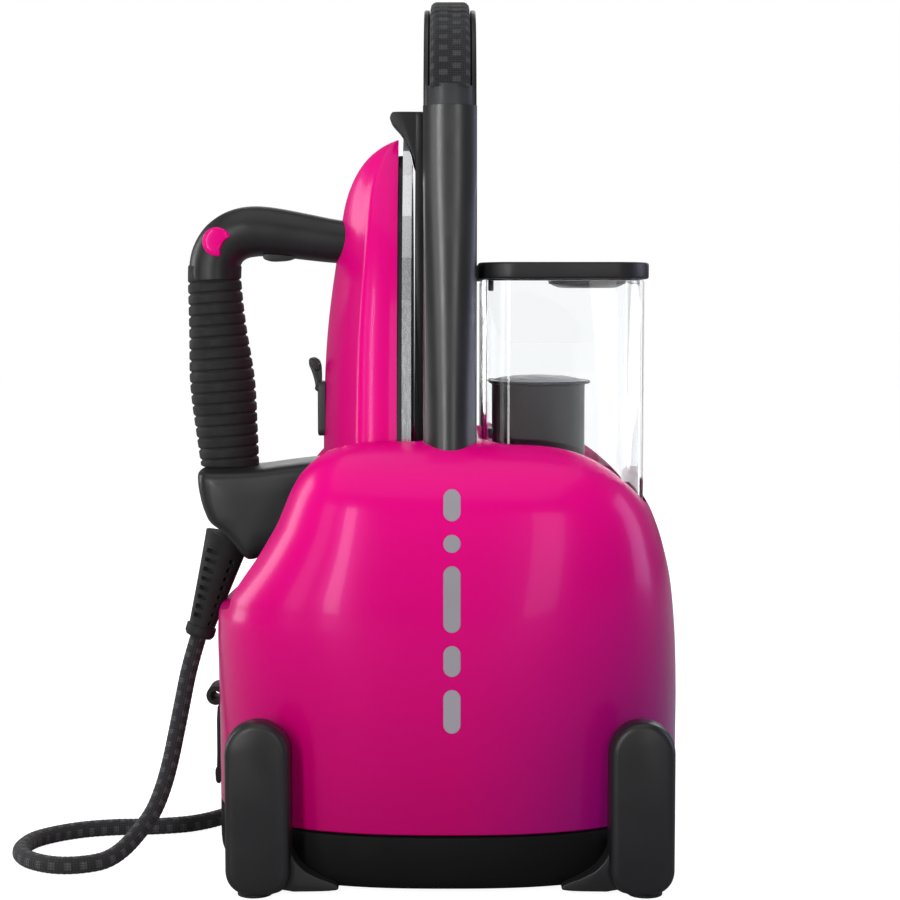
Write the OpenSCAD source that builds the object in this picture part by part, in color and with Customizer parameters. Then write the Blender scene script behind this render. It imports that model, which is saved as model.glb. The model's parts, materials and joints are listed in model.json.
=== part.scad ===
// Compact steam iron station: a rounded base with a carrying arch, a steam iron parked upright on
// its left, a clear water tank on its right, and a braided steam hose between iron and base.
// Millimetres. +Z is up, the arch stands in the Y-Z plane, the iron is towards -X.

/* [Base] */
// Width of the base, across iron and tank
base_w = 225.6; // [224:0.2:232]
// Depth of the base at its fullest
base_d = 193; // [186:1:198]
// Height of the base's top
base_top = 207; // [204:0.5:209]
// Height of the seam between the coloured body and the black tray
seam_z = 28; // [24:1:32]
// Wall of the body shell
shell_wall = 3; // [2:0.5:4]
// How far the arch stands from the origin, which is under the middle of the whole object
arch_x = 8; // [7:0.5:9]

/* [Arch] */
// Overall height, at the top of the woven grip pad
total_h = 415; // [405:1:420]
// Width of the arch band
arch_w = 25; // [22:0.5:26]
// Outside span of the arch, front to back
arch_span = 137; // [130:1:140]
// Outside corner radius of the arch
arch_r = 56; // [46:1:60]
// Thickness of the arch band
arch_t = 22; // [20:0.5:24]

/* [Iron] */
// Thickness of the soleplate
sole_t = 4.4; // [3:0.2:6]
// Length of the soleplate, heel to tip
sole_l = 202; // [190:1:203]
// Half the soleplate's width
sole_half = 51; // [44:0.5:53]
// Travel that takes the iron clear of its rest
iron_travel = 250; // [200:10:300]

/* [Tank] */
// Width of the tank
tank_w = 76.5; // [74:0.5:81]
// Depth of the tank, front to back
tank_d = 120; // [100:1:122]
// Height of the lid's top
lid_top = 289.5; // [285:0.5:295]
// Wall of the clear tank
tank_wall = 2; // [1.5:0.25:3]

/* [Hose] */
// Diameter of the braided hose
hose_d = 8; // [7:0.5:9]
// Middle radius of the coil's turns
coil_r = 44; // [40:1:48]

/* [Hidden] */
$fn = 48;

pink = [0.90, 0.0, 0.49];
black = [0.09, 0.09, 0.10];
grey = [0.30, 0.31, 0.33];
steel = [0.78, 0.79, 0.80];
copper = [0.75, 0.45, 0.30];
clear = [0.85, 0.92, 0.95, 0.35];

// Base
base_mid = -1.1;
base_a = base_w / 2;
base_b = base_d / 2;
tray_z = 2.5;
tray_wall = 3;
chassis_z = 10;
chassis_t = 2;
pad_h = 1.5;
ear_x = 87.5;
ear_half = 14.5;
ear_top = 81.5;
ear_y0 = 87;
ear_y1 = 100;

// Arch
arch_half = arch_span / 2;
pad_drop = 4;
pad_half = 9.4;
collar_z0 = 360.5;
collar_z1 = 370.5;
leg_foot_z = 187;
core_half = 6;
core_in = 7;
core_out = 15;

// Channel that the iron stands in
channel_half = 57;
channel_x = -12.6;
channel_z = 141;
cradle_t = 2.5;

// Iron, parked with its tip up and its soleplate towards +X
sole_x = -22.8;
heel_z = 150;
shield_t = 2.3;
cover_wall = 2.2;
handle_r = 11.6;
relief_top = [-110.5, 0, 155];
relief_end = [-125.8, 0, 104.3];
relief_r0 = 11.5;
relief_r1 = 6.6;
button_at = [-115.5, 0, 300.3];
button_r = 6.8;
button_travel = 1.5;
selector_at = [-65, 0, 228.7];
selector_pin_r = 1.6;

// Tank
tank_x0 = 15.2;
tank_z0 = 150;
tank_top = lid_top - 7.9;
tank_mid = tank_x0 + tank_w / 2;
pocket_gap = 1.6;
pocket_z = 148;
cup_at = [43.5, 0];
cup_r = 23.3;
cup_rim_r = 26.1;
cup_top = 232;
filler_at = [67.8, 0];
filler_r = 19;
filler_rim_r = 20.4;
flap_r = 18.4;
flap_t = 2.6;
flap_pin_r = 1.5;
spout_r = 6;

// Rear fittings
gland_at = [-44, 0, 15.5];
gland_in = 83.5;
mains_at = [40, 0, 15];
power_at = [52, 0, 62];

// Hose
hose_r = hose_d / 2;
coil_at = [-18, 174];
coil_h = 23;
// Route of the hose from the iron's strain relief to the coil
run_points = [
    [-126, 0, 104], [-129, 0, 94], [-131.5, -1, 84], [-134, -3, 71], [-136.5, -7, 57],
    [-139, -13, 43], [-142, -19, 31], [-146, -26, 21], [-152, -34, 13], [-158, -43, 7.5],
    [-165, -51, 4.6], [-175, -57, 4], [-187, -58, 4], [-199, -51.5, 4], [-207, -41, 4],
    [-209.5, -28, 4], [-206.5, -14, 4], [-197.5, -3, 4], [-185, 5, 4], [-171, 9, 4],
    [-158, 10, 4], [-145, 12, 4], [-133, 16, 4], [-123, 24, 4], [-116, 34, 4],
    [-113, 46, 4], [-113, 64, 4], [-113, 82, 4], [-111, 98, 4], [-104, 112, 4],
    [-93, 121.5, 4], [-79, 125.5, 4], [-62, 126, 4], [-46, 126, 4]
];
// Route of the hose from the coil to the gland at the back of the tray
tail_points = [[-62, 160, 19], [-61.3, 150, 18.8], [-58, 138, 18], [-52, 126, 16.8],
    [-46, 114, 15.8], [-44, 103, 15.5]];

// ---- Shared shapes ----

module placed() translate([arch_x, 0, 0]) children();

module along_y(half) rotate([90, 0, 0]) linear_extrude(2 * half, center = true) children();

module along_x(x0, x1) translate([x0, 0, 0]) rotate([90, 0, 90]) linear_extrude(x1 - x0) children();

module rounded(w, d, r) {
    square([w - 2 * r, d], center = true);
    square([w, d - 2 * r], center = true);
    for (sx = [-1, 1], sy = [-1, 1]) translate([sx * (w / 2 - r), sy * (d / 2 - r)]) circle(r);
}

module tube(r_out, r_in, h) difference() {
    cylinder(r = r_out, h = h);
    translate([0, 0, -1]) cylinder(r = r_in, h = h + 2);
}

// Lays a shape drawn up +Z along the line from one point to another
module between(from, to) {
    d = to - from;
    translate(from) rotate([0, acos(d.z / norm(d)), atan2(d.y, d.x)]) children();
}

function superellipse(a, b, n, steps) = [for (i = [0 : steps - 1]) let (t = 360 * i / steps)
    [a * sign(cos(t)) * pow(abs(cos(t)), 2 / n), b * sign(sin(t)) * pow(abs(sin(t)), 2 / n)]];

module footprint(a, b) translate([base_mid, 0]) polygon(superellipse(a, b, 2.5, 56));

// ---- Body ----

// Outline of the body in the X-Z plane: a cut-back left shoulder and a full right one
module side_outline() polygon(concat(
    [[base_mid - base_a, 10], [base_mid - base_a, 108], [-112.6, 116], [-108.4, 123.5], [-102.9, 132.8],
     [-95.7, 142.2], [-85.5, 159.6], [-78.2, 173.4], [-74.5, 182.7], [-70.3, 190.6], [-63.3, 197.1],
     [-57.1, 201.8], [-51, base_top - 2], [-44, base_top]],
    [for (t = [84 : -6 : 0]) [base_mid + base_a * pow(cos(t), 0.6), 67 + (base_top - 67) * pow(sin(t), 0.6)]],
    [[base_mid + base_a, 10]]
));

// Outline of the body in the Y-Z plane
module end_outline() {
    half = concat([[base_b - 2, 10], [base_b, 90]],
        [for (t = [0 : 10 : 90])
            [40 + (base_b - 42.5) * pow(cos(t), 0.77), 150 + (base_top - 150) * pow(sin(t), 0.77)]]);
    polygon(concat(half, [[0, base_top]], [for (i = [len(half) - 1 : -1 : 0]) [-half[i].x, half[i].y]]));
}

module body_form(inset, z0) intersection() {
    translate([0, 0, z0]) linear_extrude(base_top) footprint(base_a - inset, base_b - inset);
    along_y(base_b + 5) offset(delta = -inset) side_outline();
    along_x(-base_a - 10, base_a + 10) offset(delta = -inset) end_outline();
}

module iron_channel(grow) along_y(channel_half + grow) polygon([
    [channel_x + grow, base_top + 30], [channel_x + grow, channel_z - grow],
    [-74, channel_z - grow], [-135, 112 - grow], [-135, base_top + 30]]);

module tank_pocket(grow) translate([tank_mid, 0, pocket_z - grow]) linear_extrude(base_top)
    rounded(tank_w + 2 * (pocket_gap + grow), tank_d + 2 * (pocket_gap + grow), 16 + grow);

module leg_sockets() for (s = [-1, 1]) translate([0, s * (arch_half - arch_t / 2), leg_foot_z + 40])
    cube([arch_w + 0.4, arch_t + 0.4, 80], center = true);

module body_shell() color(pink) placed() difference() {
    body_form(0, seam_z);
    iron_channel(0);
    tank_pocket(0);
    difference() {
        body_form(shell_wall, seam_z - 1);
        iron_channel(shell_wall);
        tank_pocket(shell_wall);
    }
    leg_sockets();
    translate([cup_at.x, cup_at.y, pocket_z - 10]) cylinder(r = 12, h = 20);
    translate([power_at.x, base_b, power_at.z]) rotate([90, 0, 0]) cylinder(r = 9, h = 80, center = true);
}

module base_tray() color(black) placed() difference() {
    translate([0, 0, tray_z]) linear_extrude(seam_z - tray_z) footprint(base_a, base_b - 2);
    translate([0, 0, tray_z + tray_wall]) linear_extrude(seam_z)
        footprint(base_a - tray_wall, base_b - 2 - tray_wall);
    translate([gland_at.x, base_b - 6, gland_at.z]) rotate([90, 0, 0]) cylinder(r = 7, h = 30, center = true);
    translate([mains_at.x, base_b - 6, mains_at.z]) rotate([90, 0, 0]) cylinder(r = 7, h = 30, center = true);
    for (p = screw_places) translate([p.x, p.y, 0]) {
        cylinder(r = 2.1, h = 10);
        cylinder(r = 3.7, h = tray_z + 1.5);
    }
}

screw_places = [for (sx = [-1, 1], sy = [-1, 1]) [sx * 62, sy * 48]];

module chassis_plate() color(steel) placed() difference() {
    translate([0, 0, chassis_z]) linear_extrude(chassis_t) footprint(base_a - 10, base_b - 12);
    for (p = screw_places) translate([p.x, p.y, 0]) cylinder(r = 2.1, h = 20);
}

module base_screws() color(steel) placed() for (p = screw_places) translate([p.x, p.y, tray_z + 0.3]) {
    cylinder(r = 3.5, h = 1.2);
    cylinder(r = 2, h = 13);
}

// A corner foot with its upright ear. sx and sy choose the corner.
module corner_foot(sx, sy) color(black) placed() difference() {
    union() {
        translate([sx * ear_x, sy * (ear_y0 + ear_y1) / 2, 0]) along_y((ear_y1 - ear_y0) / 2) {
            translate([-ear_half, pad_h + 10]) square([2 * ear_half, ear_top - ear_half - pad_h - 10]);
            translate([0, ear_top - ear_half]) circle(ear_half);
            translate([-ear_half + 8, pad_h]) square([2 * ear_half - 16, 20]);
            for (s = [-1, 1]) translate([s * (ear_half - 10), pad_h + 10]) circle(10);
        }
        translate([sx * (ear_x - 1), sy * 80, pad_h]) linear_extrude(20) rounded(31, 36, 8);
    }
    linear_extrude(60) footprint(base_a + 0.05, base_b - 1.95);
}

module foot_pads() color(grey) placed() for (sx = [-1, 1], sy = [-1, 1])
    translate([sx * (ear_x + 2), sy * 89, 0]) cylinder(r = 8, h = pad_h);

// ---- Arch ----

// A solid arch outline, drawn in from the outside by a distance
module arch_solid(inset, z0) {
    half = arch_half - inset;
    top = total_h - inset;
    r = arch_r - inset;
    intersection() {
        union() {
            translate([-half, 0]) square([2 * half, top - r]);
            translate([r - half, 0]) square([2 * (half - r), top]);
            for (s = [-1, 1]) translate([s * (half - r), top - r]) circle(r);
        }
        translate([-half, z0]) square([2 * half, top]);
    }
}

module arch_band(out, in, z0) difference() {
    arch_solid(out, z0);
    arch_solid(in, z0 - 1);
}

module handle_core() color(steel) placed() along_x(-core_half, core_half)
    arch_band(core_in, core_out, chassis_z + chassis_t);

module leg_cover(s) color(black) placed() translate([0, s * (arch_half - arch_t / 2), leg_foot_z])
    difference() {
        linear_extrude(collar_z0 - leg_foot_z) rounded(arch_w, arch_t, 6);
        translate([0, 0, -1]) linear_extrude(collar_z0 - leg_foot_z + 2) rounded(arch_w - 5, arch_t - 5, 4);
    }

// The two bands where the covers end, following the arch's slope at that height
module handle_collars() color(grey) placed() difference() {
    intersection() {
        along_x(-arch_w / 2 - 0.4, arch_w / 2 + 0.4) arch_band(-0.2, arch_t + 0.4, collar_z0 - 5);
        translate([-50, -100, collar_z0]) cube([100, 200, collar_z1 - collar_z0]);
    }
    along_x(-core_half - 0.2, core_half + 0.2) arch_band(core_in - 0.2, core_out + 0.2, collar_z0 - 20);
}

module grip_shell() color(black) placed() difference() {
    along_x(-arch_w / 2, arch_w / 2) arch_band(pad_drop, arch_t, collar_z1);
    along_x(-pad_half - 0.2, pad_half + 0.2) difference() {
        arch_solid(0, collar_z1 - 1);
        arch_solid(pad_drop + 1.6, collar_z1 - 2);
    }
    along_x(-core_half - 0.1, core_half + 0.1) arch_band(core_in - 0.1, core_out + 0.1, collar_z1 - 1);
}

module grip_pad() color(black) placed() along_x(-pad_half, pad_half) arch_band(0, pad_drop + 1.5, collar_z1);

// ---- Iron rest ----

module sole_outline(inset, l) {
    taper = 160;
    tip = heel_z + l;
    half = concat([[sole_half - 12, heel_z], [sole_half - 3, heel_z + 8], [sole_half, heel_z + 26]],
        [for (s = [taper - 20 : -20 : 20]) [sole_half * pow(1 - pow(1 - s / taper, 2), 0.75), tip - s]],
        [[sole_half * 0.24, tip - 8], [3, tip - 0.6]]);
    offset(delta = -inset) polygon(concat(half, [for (i = [len(half) - 1 : -1 : 0]) [-half[i].x, half[i].y]]));
}

module iron_rest_plate() color(black) placed() {
    along_x(-16.8, -12.7) polygon([[-36, channel_z + 4], [36, channel_z + 4], [40, 210], [37, 260],
        [27, 310], [15, 340], [11, 363.2], [-11, 363.2], [-15, 340], [-27, 310], [-37, 260], [-40, 210]]);
    along_y(10.5) polygon([[-16.9, 336], [-19.3, 347], [-21.2, 353], [-24.5, 355.5], [-28.8, 357.5],
        [-29.6, 360.5], [-27.5, 363.2], [-16.7, 363.2], [-16.7, 336]]);
}

module iron_cradle() color(grey) placed() difference() {
    along_y(channel_half - 0.1) polygon([[channel_x - 4.4, channel_z + 0.1], [-74, channel_z + 0.1],
        [-100, 128.9], [-100.5, 134.5], [-89, 151.5], [-83, 162], [-72.8, 184], [-62, 184],
        [channel_x - 4.4, 184]]);
    along_y(channel_half - 0.1 - cradle_t) polygon([[0, 190], [0, channel_z + cradle_t],
        [-73.5, channel_z + cradle_t], [-101, 131], [-130, 117], [-130, 190]]);
}

// ---- Tank dock and the works inside the base ----

module tank_dock() color(grey) placed() translate([cup_at.x, cup_at.y, 0]) {
    translate([0, 0, 126]) tube(11.8, 9.6, 25 - 4);
    translate([0, 0, 122]) difference() {
        cylinder(r = 11.8, h = 4);
        translate([0, 0, -1]) cylinder(r = 3, h = 6);
    }
    translate([0, 0, 112]) tube(5, 3, 10);
}

module tank_seal() color(black) placed() translate([cup_at.x, cup_at.y, 138]) tube(9.6, spout_r + 0.05, 6);

boiler_at = [-54.5, 0, 63];
boiler_r = 38;
boiler_half = 46;

module boiler() color(steel) placed() translate(boiler_at) difference() {
    union() {
        rotate([90, 0, 0]) cylinder(r = boiler_r, h = 2 * boiler_half, center = true);
        for (x = [-18, 18]) translate([x, 0, boiler_r - 3]) cylinder(r = 5, h = 16);
    }
    rotate([90, 0, 0]) cylinder(r = boiler_r - 2, h = 2 * boiler_half - 4, center = true);
    for (x = [-18, 18]) translate([x, 0, boiler_r - 6]) cylinder(r = 3, h = 30);
}

module boiler_jacket() color("khaki") placed() translate(boiler_at) difference() {
    rotate([90, 0, 0]) cylinder(r = boiler_r + 8, h = 2 * boiler_half + 8, center = true);
    rotate([90, 0, 0]) cylinder(r = boiler_r, h = 2 * boiler_half, center = true);
    for (x = [-18, 18]) translate([x, 0, 0]) cylinder(r = 5.2, h = 60);
    translate([0, boiler_half, 0]) rotate([90, 0, 0]) cylinder(r = 24, h = 30, center = true);
}

// A bent heating rod lying in the bottom of the boiler
module heating_element() color(copper) placed() translate(boiler_at + [0, 0, -18]) {
    for (s = [-1, 1]) translate([s * 14, boiler_half - 2, 0]) rotate([90, 0, 0]) cylinder(r = 3.2, h = 66);
    translate([0, boiler_half - 68, 0]) rotate([0, 0, 180]) rotate_extrude(angle = 180)
        translate([14, 0]) circle(3.2);
}

module boiler_thermostat() color(grey) placed() translate(boiler_at + [0, boiler_half, 0])
    rotate([-90, 0, 0]) { cylinder(r = 11, h = 6); translate([0, 0, 6]) cylinder(r = 7, h = 5); }

pump_at = [58, -10, 40];

module pump() color(grey) placed() translate(pump_at) rotate([0, 90, 0]) {
    cylinder(r = 19, h = 34, center = true);
    translate([0, 0, 17]) cylinder(r = 11, h = 18);
    translate([0, 0, -31]) cylinder(r = 9, h = 14);
}

module pump_mounts() color(black) placed() for (s = [-1, 1])
    translate([pump_at.x + s * 11, pump_at.y, chassis_z + chassis_t]) difference() {
        translate([-4, -16, 0]) cube([8, 32, 20]);
        translate([-5, 0, pump_at.z - chassis_z - chassis_t]) rotate([0, 90, 0]) cylinder(r = 19.05, h = 10);
    }

valve_at = [45, 32, chassis_z + chassis_t];

module steam_valve() color(copper) placed() translate(valve_at) {
    translate([-14, -14, 0]) cube([28, 28, 24]);
    translate([0, 0, 24]) cylinder(r = 12, h = 30);
}

// Water from the dock to the pump and on to the boiler, steam to the valve and on to the hose gland
module feed_tubes() color("white") placed() {
    tube_run([[cup_at.x, 0, 112], [cup_at.x, 0, 58]]);
    tube_run([[pump_at.x - 32, pump_at.y, 40], [23, pump_at.y, 41], [20, pump_at.y, 46],
        [20, pump_at.y, 114], [17, pump_at.y, 120], [10, -8, 122], [boiler_at.x + 26, -1, 122],
        [boiler_at.x + 20, 0, 120], [boiler_at.x + 18, 0, 114.2]]);
    tube_run([[boiler_at.x - 18, 0, 114.2], [boiler_at.x - 17, 1, 123], [boiler_at.x - 10, 3, 129],
        [valve_at.x - 8, valve_at.y - 2, 129], [valve_at.x - 1, valve_at.y, 123],
        [valve_at.x, valve_at.y, 66.2]]);
    tube_run([[valve_at.x - 14.5, valve_at.y, 24], [18, 33, 24], [-20, 42, 20], [gland_at.x + 6, 60, 16.5],
        [gland_at.x, 68, gland_at.z], [gland_at.x, gland_in - 0.2, gland_at.z]]);
}

// A soft tube along a list of points
module tube_run(points) swept(points, 3, 8, [1, 1, 1]);

module circuit_board() color("darkgreen") placed() {
    translate([97, -45, 40]) cube([1.6, 90, 70]);
    for (i = [0 : 3]) translate([88, -36 + 22 * i, 52 + 9 * (i % 2)]) cube([8.9, 13, 16]);
    translate([90, -20, 92]) rotate([0, 90, 0]) cylinder(r = 6, h = 6.9);
}

module mains_gland() color(black) placed() translate([mains_at.x, 0, mains_at.z]) rotate([-90, 0, 0])
    difference() {
        union() {
            translate([0, 0, gland_in]) cylinder(r = 6.9, h = 14);
            translate([0, 0, 94]) cylinder(r = 8.6, h = 4);
        }
        cylinder(r = 3.6, h = 120);
    }

module hose_gland() color(black) placed() translate([gland_at.x, 0, gland_at.z]) rotate([-90, 0, 0])
    difference() {
        union() {
            translate([0, 0, gland_in]) cylinder(r = 6.9, h = 10);
            translate([0, 0, 93]) cylinder(r1 = 9, r2 = 6.6, h = 10);
        }
        cylinder(r = hose_r - 1, h = 120);
    }

// A soft strap with a rolled eye that holds the hose to the left flank
module hose_strap() color(black) placed() translate([base_mid - base_a - 0.1, 0, 0]) difference() {
    union() {
        translate([-2.2, -9, 31]) cube([2.2, 18, 40]);
        translate([-2.5, 0, 75.5]) rotate([90, 0, 0]) cylinder(r = 4.8, h = 18, center = true);
        translate([-3.4, -9, 31]) cube([3.4, 18, 7]);
    }
    translate([-2.5, 0, 75.5]) rotate([90, 0, 0]) cylinder(r = 2.2, h = 30, center = true);
    translate([0, -15, 60]) cube([10, 30, 30]);
}

module power_button() color(grey) placed() translate([power_at.x, 0, power_at.z]) rotate([-90, 0, 0]) {
    translate([0, 0, 72]) cylinder(r = 8.9, h = 20.4);
}

// ---- Iron ----

// Outline of the iron's cover in the X-Z plane
module cover_profile() polygon([[sole_x - shield_t - 0.2, heel_z + 1], [-60, heel_z + 1], [-62.4, heel_z + 10],
    [-62.8, 200], [-61.8, 237], [-60.5, 258], [-56.5, 288], [-53.8, 306], [-51.5, 322], [-47, 332],
    [-40, 341.5], [-32.5, 347.5], [sole_x - shield_t - 0.2, 350.6]]);

// Section of the cover in the X-Y plane: broad at the soleplate, narrow at the back
module cover_section(inset) polygon(concat([[sole_x, sole_half + 2]],
    [for (t = [0 : 15 : 90]) [-36 - (27 - inset) * sin(t), (20 - inset) + (31 - inset / 2) * cos(t)]],
    [for (t = [90 : -15 : 0]) [-36 - (27 - inset) * sin(t), -(20 - inset) - (31 - inset / 2) * cos(t)]],
    [[sole_x, -sole_half - 2]]));

module cover_form(inset) intersection() {
    along_y(sole_half + 2) offset(delta = -inset) cover_profile();
    along_x(-80, sole_x) sole_outline(1.5 + inset, sole_l - 1);
    translate([0, 0, heel_z - 5]) linear_extrude(220) cover_section(inset);
}

module iron_cover() color(pink) placed() difference() {
    cover_form(0);
    difference() {
        translate([1, 0, 0]) cover_form(cover_wall);
        translate([-62, 0, 300]) rotate([0, 90, 0]) cylinder(r = 9, h = 20);
    }
    translate([sole_x - shield_t - 3.5, 0, 0]) along_x(0, 10) sole_outline(4.5, sole_l - 3);
    translate([-80, 0, 300.5]) rotate([0, 90, 0]) cylinder(r = 6, h = 26);
}

module soleplate() color(steel) placed() difference() {
    along_x(sole_x, sole_x + sole_t) sole_outline(0, sole_l);
    // The working face turns up at the tip
    along_y(30) polygon([[sole_x + sole_t + 1, 330], [sole_x + sole_t, 338], [sole_x + 1.2, 353],
        [sole_x + sole_t + 1, 353]]);
    for (s = [-1, 1], i = [0 : 6]) translate([sole_x - 1, s * (8 + 3.2 * (6 - i)), 210 + 18 * i])
        rotate([0, 90, 0]) cylinder(r = 1.4, h = 8);
}

module heat_shield() color(black) placed() along_x(sole_x - shield_t, sole_x) sole_outline(2, sole_l - 7);

module iron_heater() color(copper) placed() translate([-31, 0, 0]) {
    for (s = [-1, 1]) between([0, s * 30, 170], [0, s * 16, 290]) cylinder(r = 3.4, h = 120);
    translate([0, 0, 290]) rotate([90, 0, 90]) rotate_extrude(angle = 180) translate([16, 0]) circle(3.4);
}

module iron_thermostat() color(grey) placed() translate([-31, 0, 225]) rotate([0, -90, 0]) {
    cylinder(r = 10, h = 5);
    translate([0, 0, 5]) cylinder(r = 6, h = 5);
}

// The bend where the arm turns down into the grip
module handle_corner(grow) hull() {
    translate([-100, 0, 304.8]) sphere(r = handle_r + 0.6 + grow, $fn = 32);
    translate([-114, 0, 298]) sphere(r = handle_r + 1.6 + grow, $fn = 32);
    translate([-115.8, 0, 292]) sphere(r = handle_r + 1.4 + grow, $fn = 32);
}

// Arm, corner and the core inside the grip
module handle_shell() color(black) placed() difference() {
    union() {
        hull() {
            translate([-60, 0, 300.5]) sphere(r = handle_r, $fn = 32);
            translate([-100, 0, 304.8]) sphere(r = handle_r + 0.6, $fn = 32);
        }
        handle_corner(0);
        between([-116, 0, 292], [-109.6, 0, 190]) cylinder(r = 8, h = norm([6.4, 102]));
    }
    cover_form(-0.02);
    translate([-100, 0, 300]) rotate([0, 88, 0]) cylinder(r = 7, h = 60, center = true);
    for (s = [-1, 1]) translate(button_at + [0, s * 12, 0]) rotate([90, 0, 0])
        cylinder(r = button_r + 0.1, h = 12, center = true);
    translate([-92.5, -5.1, 285]) cube([18.4, 10.2, 12]);
}

module grip_sleeve() color(black) placed() difference() {
    union() {
        hull() { sleeve_ring(-116.2, 286, 12.7); sleeve_ring(-114.8, 256, 14.4); }
        hull() { sleeve_ring(-114.8, 256, 14.4); sleeve_ring(-112.8, 230, 16.2); }
        hull() { sleeve_ring(-112.8, 230, 16.2); sleeve_ring(-109.4, 190, 14.7); }
    }
    between([-117, 0, 308], [-109.0, 0, 180]) cylinder(r = 8.05, h = 140);
    handle_corner(0.1);
}

module sleeve_ring(x, z, r) translate([x, 0, z]) scale([1, 0.92, 1]) cylinder(r = r, h = 1, $fn = 32);

module heel_profile() polygon([[-124, 189.2], [-94.7, 189.4], [-69.5, 193.2], [-60, 194], [-60, 154],
    [-78, 151.5], [-99, 143.6], [-102, 147], [-105.6, 152], [-111.5, 158.4], [-119, 163.3],
    [-122.6, 173], [-124.2, 181]]);

module heel_housing() color(black) placed() difference() {
    intersection() {
        along_y(26) heel_profile();
        translate([-92, 0, 100]) linear_extrude(120) rounded(66, 50, 16);
    }
    cover_form(-0.02);
    along_y(17) offset(delta = -3) heel_profile();
    between([-109.2, 0, 184], [-109.6, 0, 195]) cylinder(r = 8.1, h = 12);
}

module strain_relief() color(black) placed() difference() {
    between(relief_top, relief_end) union() {
        cylinder(r1 = relief_r0, r2 = relief_r1, h = norm(relief_end - relief_top) - 5);
        translate([0, 0, norm(relief_end - relief_top) - 6]) cylinder(r = relief_r1 + 0.7, h = 6);
    }
    along_y(40) heel_profile();
    between(relief_top, relief_end) {
        translate([0, 0, -5]) cylinder(r = hose_r - 0.6, h = 80);
        for (i = [0 : 6]) translate([0, 0, 12 + 5 * i]) for (s = [-1, 1])
            translate([-20, s * (6.2 + (i % 2)) - (s < 0 ? 12 : 0), 0]) cube([40, 12, 2]);
    }
}

module selector_plate() color(grey) placed() difference() {
    translate([-65.2, -8, 205]) cube([4, 16, 27]);
    cover_form(-0.02);
    translate([-70, -3.2, 222]) cube([10, 6.4, 12]);
    translate([selector_at.x, 0, selector_at.z]) rotate([90, 0, 0])
        cylinder(r = selector_pin_r + 0.05, h = 30, center = true);
}

module selector_lever() color(black) placed() translate(selector_at) {
    rotate([90, 0, 0]) cylinder(r = selector_pin_r, h = 15.6, center = true);
    along_y(2.8) polygon([[-1.2, -1.2], [1.2, -1.2], [1.4, 5], [0.8, 11.5], [-3.6, 14.8],
        [-4.6, 13.4], [-1.6, 6]]);
    along_y(6) polygon([[1.1, 10.6], [0.8, 12], [-3.4, 15.2], [-4.8, 13.6], [-1.6, 9.8]]);
}

module iron_screws() color(steel) placed() for (p = [[0, 182], [-41, 192], [41, 192], [0, 262]])
    translate([sole_x - shield_t - 9.5, p.x, p.y]) rotate([0, 90, 0]) {
        cylinder(r = 2, h = 9.4);
        translate([0, 0, -2]) cylinder(r = 3.6, h = 2);
    }

module steam_button(s) color(pink) placed() translate(button_at) rotate([s * -90, 0, 0])
    translate([0, 0, 7.6]) cylinder(r = button_r, h = 6.6);

module steam_trigger() color(black) placed() translate([-92.2, -4.8, 290.6]) cube([17.8, 9.6, 4.2]);

module handle_switches() color(grey) placed() {
    translate([-89, -3.5, 297.4]) cube([12, 7, 5]);
    translate([button_at.x - 5, -4.5, button_at.z - 3]) cube([10, 9, 6]);
}

// ---- Tank ----

module tank_shell() color(clear) placed() difference() {
    translate([tank_mid, 0, tank_z0]) linear_extrude(tank_top - tank_z0) rounded(tank_w, tank_d, 16);
    translate([tank_mid, 0, tank_z0 + tank_wall]) linear_extrude(200)
        rounded(tank_w - 2 * tank_wall, tank_d - 2 * tank_wall, 16 - tank_wall);
    translate([cup_at.x, cup_at.y, tank_z0 - 1]) cylinder(r = 7.6, h = 8);
}

module tank_lid() color(black) placed() difference() {
    union() {
        translate([tank_mid, 0, tank_top]) linear_extrude(lid_top - tank_top)
            rounded(tank_w + 4.2, tank_d + 4.2, 18);
        translate([tank_mid, 0, tank_top - 3]) linear_extrude(3.1)
            rounded(tank_w - 2 * tank_wall - 0.6, tank_d - 2 * tank_wall - 0.6, 13.6);
        translate([filler_at.x, 0, tank_top - 4.6]) cylinder(r1 = 14, r2 = filler_rim_r, h = 4.7);
    }
    translate([tank_mid, 0, tank_top - 5]) linear_extrude(5.02) difference() {
        rounded(tank_w - 2 * tank_wall - 4, tank_d - 2 * tank_wall - 4, 12);
        translate([filler_at.x - tank_mid, 0]) circle(filler_rim_r);
    }
    translate([filler_at.x, 0, tank_top - 2.6]) cylinder(r = filler_r, h = 20);
    translate([filler_at.x, 0, tank_top - 6]) cylinder(r = 11, h = 8);
    translate([filler_at.x - filler_r - 3, -11.2, lid_top - 6]) cube([6, 22.4, 8]);
    translate([filler_at.x - filler_r, 0, lid_top - 2.4]) rotate([90, 0, 0])
        cylinder(r = flap_pin_r + 0.05, h = 26.4, center = true);
}

module filler_flap() color(black) placed() {
    translate([filler_at.x, 0, lid_top - flap_t - 0.3]) cylinder(r = flap_r, h = flap_t);
    translate([filler_at.x - filler_r, 0, lid_top - 2.4]) {
        rotate([90, 0, 0]) cylinder(r = flap_pin_r, h = 25.6, center = true);
        translate([0, -4.6, -1.3]) cube([3, 9.2, 2.6]);
    }
}

module filter_cup() color(black) placed() translate([cup_at.x, cup_at.y, 0]) difference() {
    union() {
        translate([0, 0, tank_z0 + tank_wall]) cylinder(r = cup_r, h = cup_top - tank_z0 - tank_wall);
        translate([0, 0, cup_top - 1.6]) cylinder(r = cup_rim_r, h = 1.6);
    }
    translate([0, 0, tank_z0 + tank_wall + 14]) cylinder(r = cup_r - 1.8, h = 100);
    translate([0, 0, tank_z0]) cylinder(r = 9, h = 12);
    for (a = [0 : 45 : 315]) rotate([0, 0, a]) translate([14, 0, tank_z0]) cylinder(r = 2, h = 30);
}

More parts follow.
